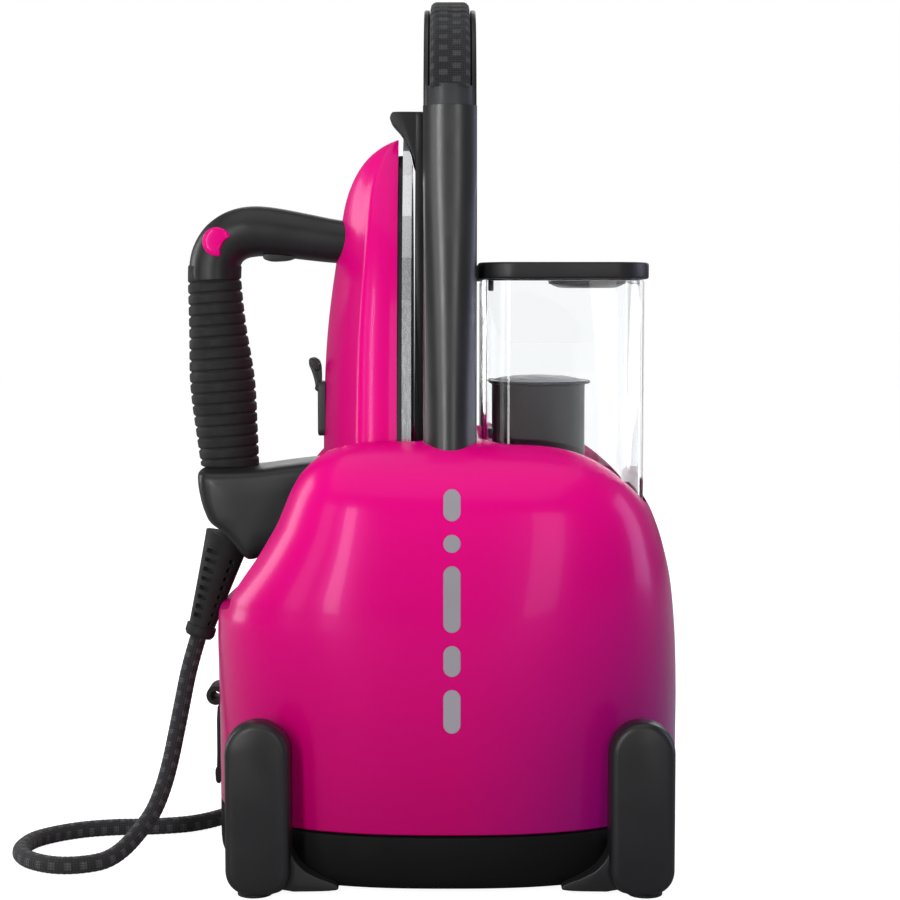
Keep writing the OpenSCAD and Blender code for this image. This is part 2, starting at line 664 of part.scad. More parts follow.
// Resin bed with its pale domed cap
module filter_resin() color("gainsboro") placed() translate([cup_at.x, cup_at.y, tank_z0 + tank_wall + 14]) {
    cylinder(r = cup_r - 1.9, h = cup_top - tank_z0 - tank_wall - 14);
    translate([0, 0, cup_top - tank_z0 - tank_wall - 14]) rotate_extrude() intersection() {
        translate([0, -80.7]) circle(r = 84, $fn = 96);
        square([cup_r - 2, 10]);
    }
}

module tank_valve() color(grey) placed() translate([cup_at.x, cup_at.y, 0]) {
    translate([0, 0, 139]) tube(spout_r, 3, 12);
    translate([0, 0, 150.9]) tube(7.5, 3, 6);
    translate([0, 0, 145]) cylinder(r = 2.6, h = 14);
}

// ---- Hose ----

// Rings of a round tube along a list of points, each square to the path there
function unit(v) = v / norm(v);
function heading(p, i) = unit(p[min(i + 1, len(p) - 1)] - p[max(i - 1, 0)]);
function ring(c, d, r, sides, side_ref) = let (u = unit(cross(d, side_ref)), v = cross(d, u))
    [for (k = [0 : sides - 1]) let (t = 360 * k / sides) c + r * (cos(t) * u + sin(t) * v)];

// Catmull-Rom points between the route's own points
function spline(p, i, t) = let (a = p[max(i - 1, 0)], b = p[i], c = p[i + 1], d = p[min(i + 2, len(p) - 1)])
    0.5 * (2 * b + (c - a) * t + (2 * a - 5 * b + 4 * c - d) * t * t + (3 * b - a - 3 * c + d) * t * t * t);
function smooth_route(p, n) =
    concat([for (i = [0 : len(p) - 2], j = [0 : n - 1]) spline(p, i, j / n)], [p[len(p) - 1]]);

module swept(points, r, sides, side_ref = [0, 0, 1]) {
    rings = [for (i = [0 : len(points) - 1]) ring(points[i], heading(points, i), r, sides, side_ref)];
    last = len(points) - 1;
    polyhedron(
        [for (g = rings, q = g) q],
        concat([[for (k = [0 : sides - 1]) k]], [[for (k = [sides - 1 : -1 : 0]) last * sides + k]],
            [for (i = [0 : last - 1], k = [0 : sides - 1]) let (a = i * sides, b = a + sides, n = (k + 1) % sides)
                [a + k, b + k, b + n, a + n]]));
}

module hose_run() color(black) placed() swept(smooth_route(run_points, 2), hose_r, 10);

module hose_tail() color(black) placed() swept(smooth_route(tail_points, 1), hose_r, 10);

module coil_profile(grow) translate([coil_r - hose_d - grow, -grow])
    square([2 * hose_d + 2 * grow, coil_h + 2 * grow]);

module hose_coil() color(black) placed() translate([coil_at.x, coil_at.y, 0]) difference() {
    rotate_extrude($fn = 64) coil_profile(0);
    rotate([0, 0, 60]) translate([coil_r - 12, -4.2, -1]) cube([24, 8.4, 2.1]);
}

module hose_tie() color(grey) placed() translate([coil_at.x, coil_at.y, 0]) rotate([0, 0, 60]) difference() {
    translate([coil_r - 10, -4, 0.1]) cube([20, 8, coil_h + 1.4]);
    translate([coil_r - 9, -5, 1.1]) cube([18, 10, coil_h - 0.9]);
}

// ---- Nodes ----

body_shell();
base_tray();
chassis_plate();
corner_foot(-1, -1);  // foot_front_left
corner_foot(1, -1);  // foot_front_right
corner_foot(-1, 1);  // foot_rear_left
corner_foot(1, 1);  // foot_rear_right
foot_pads();
base_screws();
handle_core();
leg_cover(-1);  // leg_cover_front
leg_cover(1);  // leg_cover_rear
handle_collars();
grip_shell();
grip_pad();
iron_rest_plate();
iron_cradle();
tank_dock();
tank_seal();
boiler();
boiler_jacket();
heating_element();
boiler_thermostat();
pump();
pump_mounts();
steam_valve();
feed_tubes();
circuit_board();
mains_gland();
hose_gland();
hose_strap();
power_button();
iron_cover();
soleplate();
heat_shield();
iron_heater();
iron_thermostat();
handle_shell();
grip_sleeve();
heel_housing();
strain_relief();
selector_plate();
selector_lever();
iron_screws();
steam_button(-1);  // steam_button_near
steam_button(1);  // steam_button_far
steam_trigger();
handle_switches();
tank_shell();
tank_lid();
filler_flap();
filter_cup();
filter_resin();
tank_valve();
hose_run();
hose_coil();
hose_tail();
hose_tie();
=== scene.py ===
import json
import math

import bmesh
import bpy
import numpy as np
from mathutils import Matrix, Vector


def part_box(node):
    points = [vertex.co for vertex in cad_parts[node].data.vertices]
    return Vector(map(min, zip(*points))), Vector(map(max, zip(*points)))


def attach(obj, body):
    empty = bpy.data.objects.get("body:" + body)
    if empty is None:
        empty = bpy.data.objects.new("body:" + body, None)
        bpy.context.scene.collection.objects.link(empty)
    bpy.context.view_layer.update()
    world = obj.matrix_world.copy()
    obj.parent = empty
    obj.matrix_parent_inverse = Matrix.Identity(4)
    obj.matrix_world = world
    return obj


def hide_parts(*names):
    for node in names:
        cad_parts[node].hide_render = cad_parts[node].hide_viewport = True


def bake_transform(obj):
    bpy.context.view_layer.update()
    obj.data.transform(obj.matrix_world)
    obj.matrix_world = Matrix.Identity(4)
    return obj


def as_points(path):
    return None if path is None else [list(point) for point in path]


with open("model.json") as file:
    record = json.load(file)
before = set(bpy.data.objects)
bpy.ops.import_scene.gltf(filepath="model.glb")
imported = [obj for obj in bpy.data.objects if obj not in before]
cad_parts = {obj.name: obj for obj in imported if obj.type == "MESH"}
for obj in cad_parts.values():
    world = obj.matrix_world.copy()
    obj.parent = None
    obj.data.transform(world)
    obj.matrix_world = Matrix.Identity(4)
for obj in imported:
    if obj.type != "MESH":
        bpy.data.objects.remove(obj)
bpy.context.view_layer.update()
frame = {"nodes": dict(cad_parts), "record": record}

# Everything below is modelled in millimetres from the arch's foot, and to_m() puts it into the frame.
MM = 0.001
core_lo, core_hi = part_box("handle_core")
ARCH_X = (core_lo[0] + core_hi[0]) / 2


def to_m(p):
    return (ARCH_X + p[0] * MM, p[1] * MM, p[2] * MM)


def box_mm(node):
    """A node's low and high corners in millimetres from the arch's foot."""
    lo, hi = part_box(node)
    return [[(c[0] - ARCH_X) / MM, c[1] / MM, c[2] / MM] for c in (lo, hi)]


# ---------------------------------------------------------------- camera, floor, light

CAMERA_BACK = 961
CAMERA_UP = 269.4
CAMERA_TILT = 4.276
LENS = 77.48


def make_camera():
    cam = bpy.data.objects.new("camera", bpy.data.cameras.new("camera"))
    cam.data.lens = LENS
    cam.data.sensor_width = 36
    cam.data.clip_start = 0.01
    cam.location = to_m((0, -CAMERA_BACK, CAMERA_UP))
    cam.rotation_euler = (math.radians(90 - CAMERA_TILT), 0, 0)
    bpy.context.collection.objects.link(cam)
    bpy.context.scene.camera = cam


def area_light(name, place, aim, size, power, colour=(1, 1, 1)):
    light = bpy.data.lights.new(name, "AREA")
    light.shape = "RECTANGLE"
    light.size, light.size_y = size
    light.energy = power
    light.color = colour
    ob = bpy.data.objects.new(name, light)
    ob.location = place
    ob.rotation_euler = (Vector(aim) - Vector(place)).to_track_quat("-Z", "Y").to_euler()
    bpy.context.collection.objects.link(ob)


def add_node(tree, kind, values=None, sources=(), **settings):
    """A shader node with its settings, the values of its inputs, and what feeds its first inputs."""
    n = tree.nodes.new("ShaderNode" + kind)
    for key, value in settings.items():
        setattr(n, key, value)
    for socket, value in (values or {}).items():
        n.inputs[socket].default_value = value
    for socket, source in zip(n.inputs, sources):
        tree.links.new(source, socket)
    return n


def seen_ray(tree):
    """1 for rays that the camera sees, straight or through the clear tank, and 0 for the rest."""
    ray = add_node(tree, "LightPath").outputs
    sources = ray["Is Camera Ray"], ray["Is Transmission Ray"]
    return add_node(tree, "Math", {}, sources, operation="MAXIMUM").outputs[0]


def make_light():
    aim = (ARCH_X, 0, 0.17)
    area_light("strip_left", (-1.1, -1.0, 0.45), aim, (0.4, 1.3), 4)
    area_light("key_left", (-0.62, -1.35, 0.4), aim, (0.2, 1.4), 12)
    area_light("strip_right", (0.42, -1.5, 0.42), aim, (0.3, 1.2), 4)
    area_light("side_right", (1.5, 0.1, 0.5), aim, (0.7, 1.2), 9, (0.72, 0.74, 1.0))
    area_light("side_left", (-1.5, 0.5, 0.6), aim, (0.6, 1.2), 10)
    area_light("back", (0.3, 1.6, 0.9), aim, (1.6, 1.0), 10)
    area_light("top", (-0.1, -0.3, 1.6), aim, (1.6, 1.6), 8)
    world = bpy.data.worlds.new("studio")
    world.use_nodes = True
    tree = world.node_tree
    tree.nodes.clear()
    seen = add_node(tree, "Background", {"Color": (1, 1, 1, 1), "Strength": 1.0})
    fill = add_node(tree, "Background", {"Color": (0.95, 0.97, 1.0, 1), "Strength": 0.20})
    mix = add_node(tree, "MixShader", {}, (seen_ray(tree), fill.outputs[0], seen.outputs[0]))
    add_node(tree, "OutputWorld", {}, mix.outputs)
    bpy.context.scene.world = world
    bpy.context.scene.view_settings.view_transform = "Standard"


# ---------------------------------------------------------------- materials

class Shader:
    """A node material built up call by call. Texture coordinates are the object's own, in metres."""

    def __init__(self, name, colour, roughness, metallic=0.0):
        self.mat = bpy.data.materials.new(name)
        self.mat.use_nodes = True
        self.tree = self.mat.node_tree
        self.bsdf = self.tree.nodes["Principled BSDF"]
        self.colour = (*colour, 1)
        self.set("Base Color", self.colour)
        self.set("Roughness", roughness)
        self.set("Metallic", metallic)
        self.coords = self.tree.nodes.new("ShaderNodeTexCoord")
        self.height = None

    def set(self, socket, value):
        self.bsdf.inputs[socket].default_value = value

    def link(self, a, b):
        self.tree.links.new(a, b)

    def node(self, kind, values=None, sources=(), **settings):
        return add_node(self.tree, kind, values, sources, **settings)

    def noise(self, scale, detail=3, stretch=(1, 1, 1)):
        placed = self.node("Mapping", {"Scale": stretch}, (self.coords.outputs["Object"],))
        return self.node("TexNoise", {"Scale": scale, "Detail": detail}, placed.outputs).outputs["Fac"]

    def span(self, value, low, high, from_low=0.3, from_high=0.7):
        limits = {"From Min": from_low, "From Max": from_high, "To Min": low, "To Max": high}
        return self.node("MapRange", limits, (value,)).outputs["Result"]

    def tint(self, factor, other):
        """Mixes the colour so far towards another where factor is 1."""
        n = self.node("Mix", {6: self.colour, 7: (*other, 1)}, (factor,), data_type="RGBA")
        old = self.bsdf.inputs["Base Color"]
        if old.is_linked:
            self.link(old.links[0].from_socket, n.inputs[6])
        self.link(n.outputs[2], old)

    def rough(self, value, low, high):
        self.link(self.span(value, low, high), self.bsdf.inputs["Roughness"])

    def bump(self, value, distance, strength=1.0):
        n = self.node("Bump", {"Distance": distance, "Strength": strength})
        self.link(value, n.inputs["Height"])
        if self.height is not None:
            self.link(self.height, n.inputs["Normal"])
        self.height = n.outputs["Normal"]
        self.link(self.height, self.bsdf.inputs["Normal"])

    def math(self, operation, a, b=None):
        n = self.node("Math", operation=operation)
        for i, x in enumerate((a, b)):
            if x is None:
                continue
            if isinstance(x, (int, float)):
                n.inputs[i].default_value = x
            else:
                self.link(x, n.inputs[i])
        return n.outputs[0]


def pink_gloss():
    s = Shader("pink_gloss", (0.82, 0.0, 0.222), 0.25)
    s.set("Specular IOR Level", 0.3)
    s.set("Specular Tint", (1.0, 0.30, 0.72, 1))
    s.set("Coat Weight", 0.07)
    s.set("Coat Roughness", 0.05)
    place = s.node("SeparateXYZ")
    s.link(s.coords.outputs["Object"], place.inputs[0])
    # Painted shade and painted reflection: the colour deepens low on the body as painted shade where less
    # light falls, and leans to violet low on the tank's side as a painted violet reflection.
    low = s.span(place.outputs["Z"], 1, 0, 0.03, 0.19)
    side = s.span(place.outputs["X"], 0, 1, 0.01, 0.12)
    # painted shade: darker crimson low on the body
    s.tint(s.math("MULTIPLY", low, 0.85), (0.37, 0.0, 0.095))
    # painted reflection: violet tint low on the tank's side
    s.tint(s.math("MULTIPLY", s.math("MULTIPLY", low, side), 0.9), (0.14, 0.006, 0.17))
    s.tint(s.span(s.noise(7, 1), 0, 0.02), (0.52, 0.0, 0.12))
    s.rough(s.noise(40, 2), 0.24, 0.265)
    s.bump(s.noise(120, 1), 0.00001, 0.06)
    s.bump(s.noise(2600, 2), 0.00001, 0.4)
    return s.mat


def moulded(name, colour, low, high, grain=2200, depth=0.000018, shine=0.36):
    """Satin moulded plastic: a fine spark-eroded grain with faint patches of wear and handling."""
    s = Shader(name, colour, (low + high) / 2)
    s.set("Specular IOR Level", shine)
    s.tint(s.span(s.noise(18, 3), 0, 0.3), tuple(c * 1.5 + 0.002 for c in colour))
    s.rough(s.noise(55, 4), low, high)
    s.bump(s.noise(grain, 3), depth, 0.5)
    return s.mat


def rubber(name, colour, grain=1500):
    s = Shader(name, colour, 0.72)
    s.set("Specular IOR Level", 0.3)
    s.set("Sheen Weight", 0.05)
    s.tint(s.span(s.noise(30, 4), 0, 0.4), tuple(c * 1.6 + 0.002 for c in colour))
    s.rough(s.noise(140, 3), 0.6, 0.82)
    s.bump(s.noise(grain, 4), 0.00008, 0.5)
    return s.mat


def brushed(name, colour, roughness=0.26, along=(220, 220, 4)):
    s = Shader(name, colour, roughness, 1.0)
    lines = s.noise(6, 2, along)
    s.tint(s.span(lines, 0, 0.12), tuple(c * 0.8 for c in colour))
    s.rough(lines, roughness - 0.03, roughness + 0.03)
    s.bump(lines, 0.000002, 0.15)
    return s.mat


def woven(name, columns, rows, thread, base=(0.014, 0.014, 0.015), fleck=(0.075, 0.077, 0.082)):
    """Cloth braid on a UV of one unit a fleck cell: dark thread with staggered pale flecks.
    thread is the threads to a cell each way."""
    s = Shader(name, base, 0.78)
    s.set("Specular IOR Level", 0.3)
    s.set("Sheen Weight", 0.1)
    s.set("Sheen Roughness", 0.5)
    uv = s.node("SeparateXYZ")
    s.link(s.coords.outputs["UV"], uv.inputs[0])
    u = s.math("MULTIPLY", uv.outputs["X"], columns)
    v = s.math("MULTIPLY", uv.outputs["Y"], rows)
    column = s.math("FLOOR", u)
    shifted = s.math("ADD", v, s.math("MULTIPLY", s.math("MODULO", column, 2), 0.5))
    across = s.math("ABSOLUTE", s.math("SUBTRACT", s.math("FRACT", u), 0.5))
    along = s.math("ABSOLUTE", s.math("SUBTRACT", s.math("FRACT", shifted), 0.5))
    inside = s.math("MULTIPLY", s.span(across, 1, 0, 0.26, 0.36), s.span(along, 1, 0, 0.16, 0.24))
    # Threads cross on the diagonal; the flecks break up where a dark thread passes over.
    d1 = s.math("SINE", s.math("MULTIPLY", s.math("ADD", u, v), math.tau * thread))
    d2 = s.math("SINE", s.math("MULTIPLY", s.math("SUBTRACT", u, v), math.tau * thread))
    cross = s.math("MULTIPLY", d1, d2)
    broken = s.math("MULTIPLY", inside, s.span(cross, 0.35, 1, -0.4, 0.5))
    s.tint(s.span(cross, 0, 0.35, -1, 1), tuple(c * 2.2 for c in base))
    s.tint(broken, fleck)
    s.tint(s.span(s.noise(60, 3), 0, 0.3), (0.03, 0.03, 0.034))
    s.bump(cross, 0.00022, 0.8)
    s.bump(s.noise(5200, 2), 0.00005, 0.5)
    return s.mat


def clear_tank():
    s = Shader("clear_tank", (0.98, 0.99, 0.993), 0.02)
    s.set("Transmission Weight", 1.0)
    s.set("IOR", 1.03)
    s.set("Coat Weight", 0.7)
    s.set("Coat Roughness", 0.03)
    s.rough(s.noise(35, 3), 0.0, 0.03)
    return s.mat


def granules():
    s = Shader("resin", (0.40, 0.41, 0.43), 0.55)
    cells = s.node("TexVoronoi")
    cells.inputs["Scale"].default_value = 900
    s.link(s.coords.outputs["Object"], cells.inputs["Vector"])
    s.tint(s.span(cells.outputs["Distance"], 0, 0.5, 0.1, 0.8), (0.2, 0.2, 0.22))
    s.rough(s.noise(120, 3), 0.4, 0.7)
    s.bump(cells.outputs["Distance"], 0.0002, 0.5)
    return s.mat


def fibre():
    s = Shader("insulation", (0.55, 0.50, 0.36), 0.9)
    s.tint(s.span(s.noise(200, 5, (1, 6, 1)), 0, 0.6), (0.38, 0.33, 0.22))
    s.bump(s.noise(500, 5, (1, 5, 1)), 0.0006, 0.7)
    return s.mat


def solder_mask():
    s = Shader("board", (0.02, 0.16, 0.06), 0.35)
    s.tint(s.span(s.noise(900, 1, (1, 1, 6)), 0, 0.5, 0.45, 0.55), (0.04, 0.26, 0.1))
    s.rough(s.noise(300, 2), 0.25, 0.5)
    s.bump(s.noise(900, 1, (1, 1, 6)), 0.00005, 0.5)
    return s.mat


BLACK = (0.0105, 0.0105, 0.0115)
MATS = {
    "pink_gloss": pink_gloss(),
    "black_plastic": moulded("black_plastic", BLACK, 0.32, 0.46),
    "leg_black": moulded("leg_black", BLACK, 0.28, 0.36, shine=0.75),
    "tray_black": moulded("tray_black", (0.003, 0.003, 0.003), 0.5, 0.62, shine=0.1),
    "grey_plastic": moulded("grey_plastic", (0.028, 0.029, 0.031), 0.36, 0.5),
    "soft_rubber": rubber("soft_rubber", (0.009, 0.009, 0.0095)),
    "woven_pad": woven("woven_pad", 1, 1, 3),
    "braided_hose": woven("braided_hose", 1, 1, 2.5),
    "clear_tank": clear_tank(),
    "bright_steel": brushed("bright_steel", (0.70, 0.71, 0.72)),
    "heater_metal": brushed("heater_metal", (0.62, 0.43, 0.24), 0.35),
    "insulation": fibre(),
    "resin": granules(),
    "board": solder_mask(),
    "silicone_tube": rubber("silicone_tube", (0.62, 0.62, 0.60), 400),
    "mark": moulded("mark", (0.29, 0.27, 0.30), 0.28, 0.4),
}


# ---------------------------------------------------------------- mesh tools, all in millimetres

def new_mesh(name, verts, faces):
    """A mesh in the frame's metres, with its normals turned outwards."""
    mesh = bpy.data.meshes.new(name)
    mesh.from_pydata([to_m(v) for v in verts], [], [tuple(int(i) for i in f) for f in faces])
    mesh.validate()
    bm = bmesh.new()
    bm.from_mesh(mesh)
    bmesh.ops.recalc_face_normals(bm, faces=bm.faces)
    bm.to_mesh(mesh)
    bm.free()
    return mesh


def piece(name, verts, faces, body, slot, replaces=(), sharp=38, material=None, uvs=None):
    """Makes one object that rides on a body, stands for CAD nodes and takes its slot's material."""
    mesh = new_mesh(name, verts, faces)
    if uvs is not None:
        layer = mesh.uv_layers.new(name="braid")
        for loop in mesh.loops:
            layer.data[loop.index].uv = uvs[loop.vertex_index]
    finish_mesh(mesh, sharp)
    mesh.materials.append(MATS[material or slot])
    ob = bpy.data.objects.new(name, mesh)
    bpy.context.collection.objects.link(ob)
    if body:
        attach(ob, body)
    if replaces:
        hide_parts(*replaces)
    return ob


def finish_mesh(mesh, sharp):
    for p in mesh.polygons:
        p.use_smooth = True
    mesh.set_sharp_from_angle(angle=math.radians(sharp))


def loft(rings, cap_start=True, cap_end=True):
    """Skins a list of closed rings of the same count."""
    n = len(rings[0])
    verts = [tuple(p) for r in rings for p in r]
    faces = [
        (i * n + k, i * n + (k + 1) % n, (i + 1) * n + (k + 1) % n, (i + 1) * n + k)
        for i in range(len(rings) - 1)
        for k in range(n)
    ]
    if cap_start:
        faces.append(tuple(range(n - 1, -1, -1)))
    if cap_end:
        faces.append(tuple((len(rings) - 1) * n + k for k in range(n)))
    return verts, faces


def closed_loft(rings):
    """Skins rings that come round to the first one again."""
    verts, faces = loft(rings, False, False)
    n, last = len(rings[0]), len(rings) - 1
    faces += [(last * n + k, last * n + (k + 1) % n, (k + 1) % n, k) for k in range(n)]
    return verts, faces


def join(*parts):
    """Puts several verts-and-faces pairs into one."""
    verts, faces = [], []
    for v, f in parts:
        base = len(verts)
        verts += [tuple(p) for p in v]
        faces += [tuple(base + i for i in face) for face in f]
    return verts, faces


def moved(shape, move):
    """The same verts and faces, with each vert put through a function of its x, y and z."""
    return [move(*v) for v in shape[0]], shape[1]


def mirrored(shape, side):
    """The shape itself for side 1, and its mirror image across the middle for side -1."""
    return moved(shape, lambda x, y, z: (x, y * side, z))


def middle(outline):
    """The mean of an outline's points."""
    return [sum(p[i] for p in outline) / len(outline) for i in (0, 1)]


def scaled(outline, centre, f):
    """An outline drawn in towards a point."""
    return [(centre[0] + (x - centre[0]) * f, centre[1] + (z - centre[1]) * f) for x, z in outline]


ORDER = {
    "x": lambda u, v, w: (w, u, v),
    "y": lambda u, v, w: (u, w, v),
    "z": lambda u, v, w: (u, v, w),
}


def prism(outline, lo, hi, axis, bevel=0.0, segments=3):
    """Pushes an outline along an axis and rounds its sharp edges."""
    order = ORDER[axis]
    bm = bmesh.new()
    ends = [[bm.verts.new(order(u, v, w)) for u, v in outline] for w in (lo, hi)]
    n = len(outline)
    for k in range(n):
        bm.faces.new((ends[0][k], ends[0][(k + 1) % n], ends[1][(k + 1) % n], ends[1][k]))
    bm.faces.new(ends[0][::-1])
    bm.faces.new(ends[1])
    bmesh.ops.recalc_face_normals(bm, faces=bm.faces)
    if bevel:
        sharp = [e for e in bm.edges if e.calc_face_angle(0) > math.radians(32)]
        bmesh.ops.bevel(bm, geom=sharp, offset=bevel, segments=segments, profile=0.5,
                        affect="EDGES", clamp_overlap=True)
    bm.verts.index_update()
    verts = [tuple(v.co) for v in bm.verts]
    faces = [tuple(v.index for v in f.verts) for f in bm.faces]
    bm.free()
    return verts, faces


def lathe(profile, centre, sides=64, axis="z"):
    """Turns (radius, height) points about an axis. Radius 0 closes an end."""
    order = ORDER[axis]
    verts, faces, rows = [], [], []
    for r, h in profile:
        if r == 0:
            rows.append([len(verts)])
            verts.append(order(0, 0, h))
        else:
            rows.append(list(range(len(verts), len(verts) + sides)))
            for k in range(sides):
                t = math.tau * k / sides
                verts.append(order(r * math.cos(t), r * math.sin(t), h))
    for a, b in zip(rows, rows[1:]):
        for k in range(sides):
            m = (k + 1) % sides
            quad = [a[k % len(a)], a[m % len(a)], b[m % len(b)], b[k % len(b)]]
            unique = list(dict.fromkeys(quad))
            if len(unique) > 2:
                faces.append(tuple(unique))
    return [tuple(c + d for c, d in zip(v, centre)) for v in verts], faces


def cross_pin(x, z, half, r=1.5):
    """A hinge pin across the object with chamfered ends."""
    long, tip = half - 0.4, r - 0.3
    pin = lathe([(0, -half), (tip, -half), (r, -long), (r, long), (tip, half), (0, half)], (0, 0, 0), 24)
    return moved(pin, lambda a, b, c: (x + a, c, z + b))


def catmull(points, per):
    """A smooth line through points, per steps between each two."""
    p = np.array(points, float)
    p = np.vstack([2 * p[0] - p[1], p, 2 * p[-1] - p[-2]])
    out = []
    for i in range(1, len(p) - 2):
        a, b, c, d = p[i - 1], p[i], p[i + 1], p[i + 2]
        for t in np.arange(per) / per:
            out.append(0.5 * (2 * b + (c - a) * t + (2 * a - 5 * b + 4 * c - d) * t**2
                              + (3 * b - a - 3 * c + d) * t**3))
    out.append(p[-2])
    return np.array(out)


def soft_outline(points, rounds=2):
    """Cuts the corners of a closed outline."""
    p = [np.array(q, float) for q in points]
    for _ in range(rounds):
        p = [q for a, b in zip(p, p[1:] + p[:1]) for q in (0.8 * a + 0.2 * b, 0.2 * a + 0.8 * b)]
    return [tuple(q) for q in p]


def arc(x, y, r, start, end, steps):
    """Points round a part of a circle, between two angles in degrees."""
    turns = np.radians(np.linspace(start, end, steps + 1))
    return [(x + r * math.cos(t), y + r * math.sin(t)) for t in turns]


def rounded_rect(w, d, r, steps=8, centre=(0, 0)):
    out = []
    for sx, sy, start in ((1, 1, 0), (-1, 1, 90), (-1, -1, 180), (1, -1, 270)):
        out += arc(centre[0] + sx * (w / 2 - r), centre[1] + sy * (d / 2 - r), r, start, start + 90, steps)
    return out


def travelled(p):
    """The distance along a path at each of its points."""
    return np.concatenate([[0], np.cumsum(np.linalg.norm(np.diff(p, axis=0), axis=1))])


def resample(path, step):
    p = np.array(path, float)
    s = travelled(p)
    at = np.linspace(0, s[-1], max(3, int(s[-1] / step) + 1))
    return np.stack([np.interp(at, s, p[:, i]) for i in range(3)], 1)


def sweep(path, radius, sides, reference=(0, 1, 0), flatten=1.0):
    """A tube along a path. radius is a function of distance along and angle around; flatten squeezes it
    towards the reference direction. Gives verts, faces and a (turn, distance) pair for each vert."""
    p = np.array(path, float)
    s = travelled(p)
    tangent = np.gradient(p, axis=0)
    tangent /= np.linalg.norm(tangent, axis=1)[:, None]
    u = np.zeros_like(p)
    last = np.cross(np.cross(tangent[0], reference), tangent[0])
    for i, t in enumerate(tangent):
        last = last - t * (last @ t)
        last /= np.linalg.norm(last)
        u[i] = last
    v = np.cross(tangent, u)
    rings, around = [], np.arange(sides) * math.tau / sides
    params = []
    for i in range(len(p)):
        r = np.array([radius(s[i], a) for a in around])[:, None]
        rings.append(p[i] + r * (flatten * np.cos(around)[:, None] * u[i] + np.sin(around)[:, None] * v[i]))
        params += [(a / math.tau, s[i]) for a in around]
    verts, faces = loft(rings)
    return verts, faces, params


def evaluated(ob):
    """Applies an object's modifiers to its mesh."""
    made = bpy.data.meshes.new_from_object(ob.evaluated_get(bpy.context.evaluated_depsgraph_get()))
    ob.modifiers.clear()
    ob.data = made


def cut(ob, *cutters):
    """Takes closed shapes, given as verts and faces, out of an object."""
    for verts, faces in cutters:
        mesh = new_mesh("cutter", verts, faces)
        tool = bpy.data.objects.new("cutter", mesh)
        bpy.context.collection.objects.link(tool)
        m = ob.modifiers.new("cut", "BOOLEAN")
        m.operation, m.solver, m.object = "DIFFERENCE", "EXACT", tool
        bpy.context.view_layer.update()
        evaluated(ob)
        bpy.data.objects.remove(tool)
        bpy.data.meshes.remove(mesh)


def round_edges(ob, width, angle=50, segments=2):
    """Rounds the edges sharper than an angle and shades the rest smooth."""
    bm = bmesh.new()
    bm.from_mesh(ob.data)
    bmesh.ops.remove_doubles(bm, verts=bm.verts, dist=0.02 * MM)
    sharp = [e for e in bm.edges if len(e.link_faces) == 2 and e.calc_face_angle(0) > math.radians(angle)]
    bmesh.ops.bevel(bm, geom=sharp, offset=width * MM, segments=segments, profile=0.5,
                    affect="EDGES", clamp_overlap=True)
    bm.to_mesh(ob.data)
    bm.free()
    finish_mesh(ob.data, 38)


# ---------------------------------------------------------------- hose

HOSE_D = 8.4
COIL = (-18, 174)
COIL_TURNS = 4.75
RUN = [
    (-126, 0, 104), (-129, 0, 94), (-131.5, -1, 84), (-134, -3, 71), (-136.5, -7, 57),
    (-139, -13, 43), (-142, -19, 31), (-146, -26, 21), (-152, -34, 13), (-158, -43, 7.5),
    (-165, -51, 4.6), (-175, -57, 4.1), (-187, -58, 4.1), (-199, -51.5, 4.1), (-207, -41, 4.1),
    (-209.5, -28, 4.1), (-206.5, -14, 4.1), (-197.5, -3, 4.1), (-185, 5, 4.1), (-171, 9, 4.1),
    (-158, 10, 4.1), (-145, 12, 4.1), (-133, 16, 4.1), (-123, 24, 4.1), (-116, 34, 4.1),
    (-113, 46, 4.1), (-113, 64, 4.1), (-113, 82, 4.1), (-111, 98, 4.1), (-104, 112, 4.1),
    (-93, 121.5, 4.1), (-79, 125.5, 4.1), (-62, 126, 4.1), (-46, 126, 4.1), (-32, 125.9, 4.1),
]
TAIL = [
    (-62, 160, 19), (-61.3, 150, 18.8), (-58, 138, 18), (-52, 126, 16.8), (-46, 114, 15.8), (-44, 103, 15.5),
]

# The coil's turns: from this turn on, the hose lies at this radius and height
COIL_LAYERS = [(0, 48.2, 4.1), (1, 40.0, 4.1), (2, 40.0, 12.2), (3, 48.2, 12.2), (4, 44.0, 19.2)]
COIL_STEP = 0.14


def coil_point(turn):
    r, z = COIL_LAYERS[0][1:]
    for start, to_r, to_z in COIL_LAYERS[1:]:
        t = min(max((turn - start + COIL_STEP) / COIL_STEP, 0), 1)
        w = t * t * (3 - 2 * t)
        r, z = r + w * (to_r - r), z + w * (to_z - z)
    a = math.radians(-90 + 360 * turn)
    return (COIL[0] + r * math.cos(a), COIL[1] + r * math.sin(a), z)


def hose_route():
    steps = int(COIL_TURNS * 24)
    coil = [coil_point(i * COIL_TURNS / steps) for i in range(steps + 1)]
    return catmull(RUN + coil + TAIL, 6)


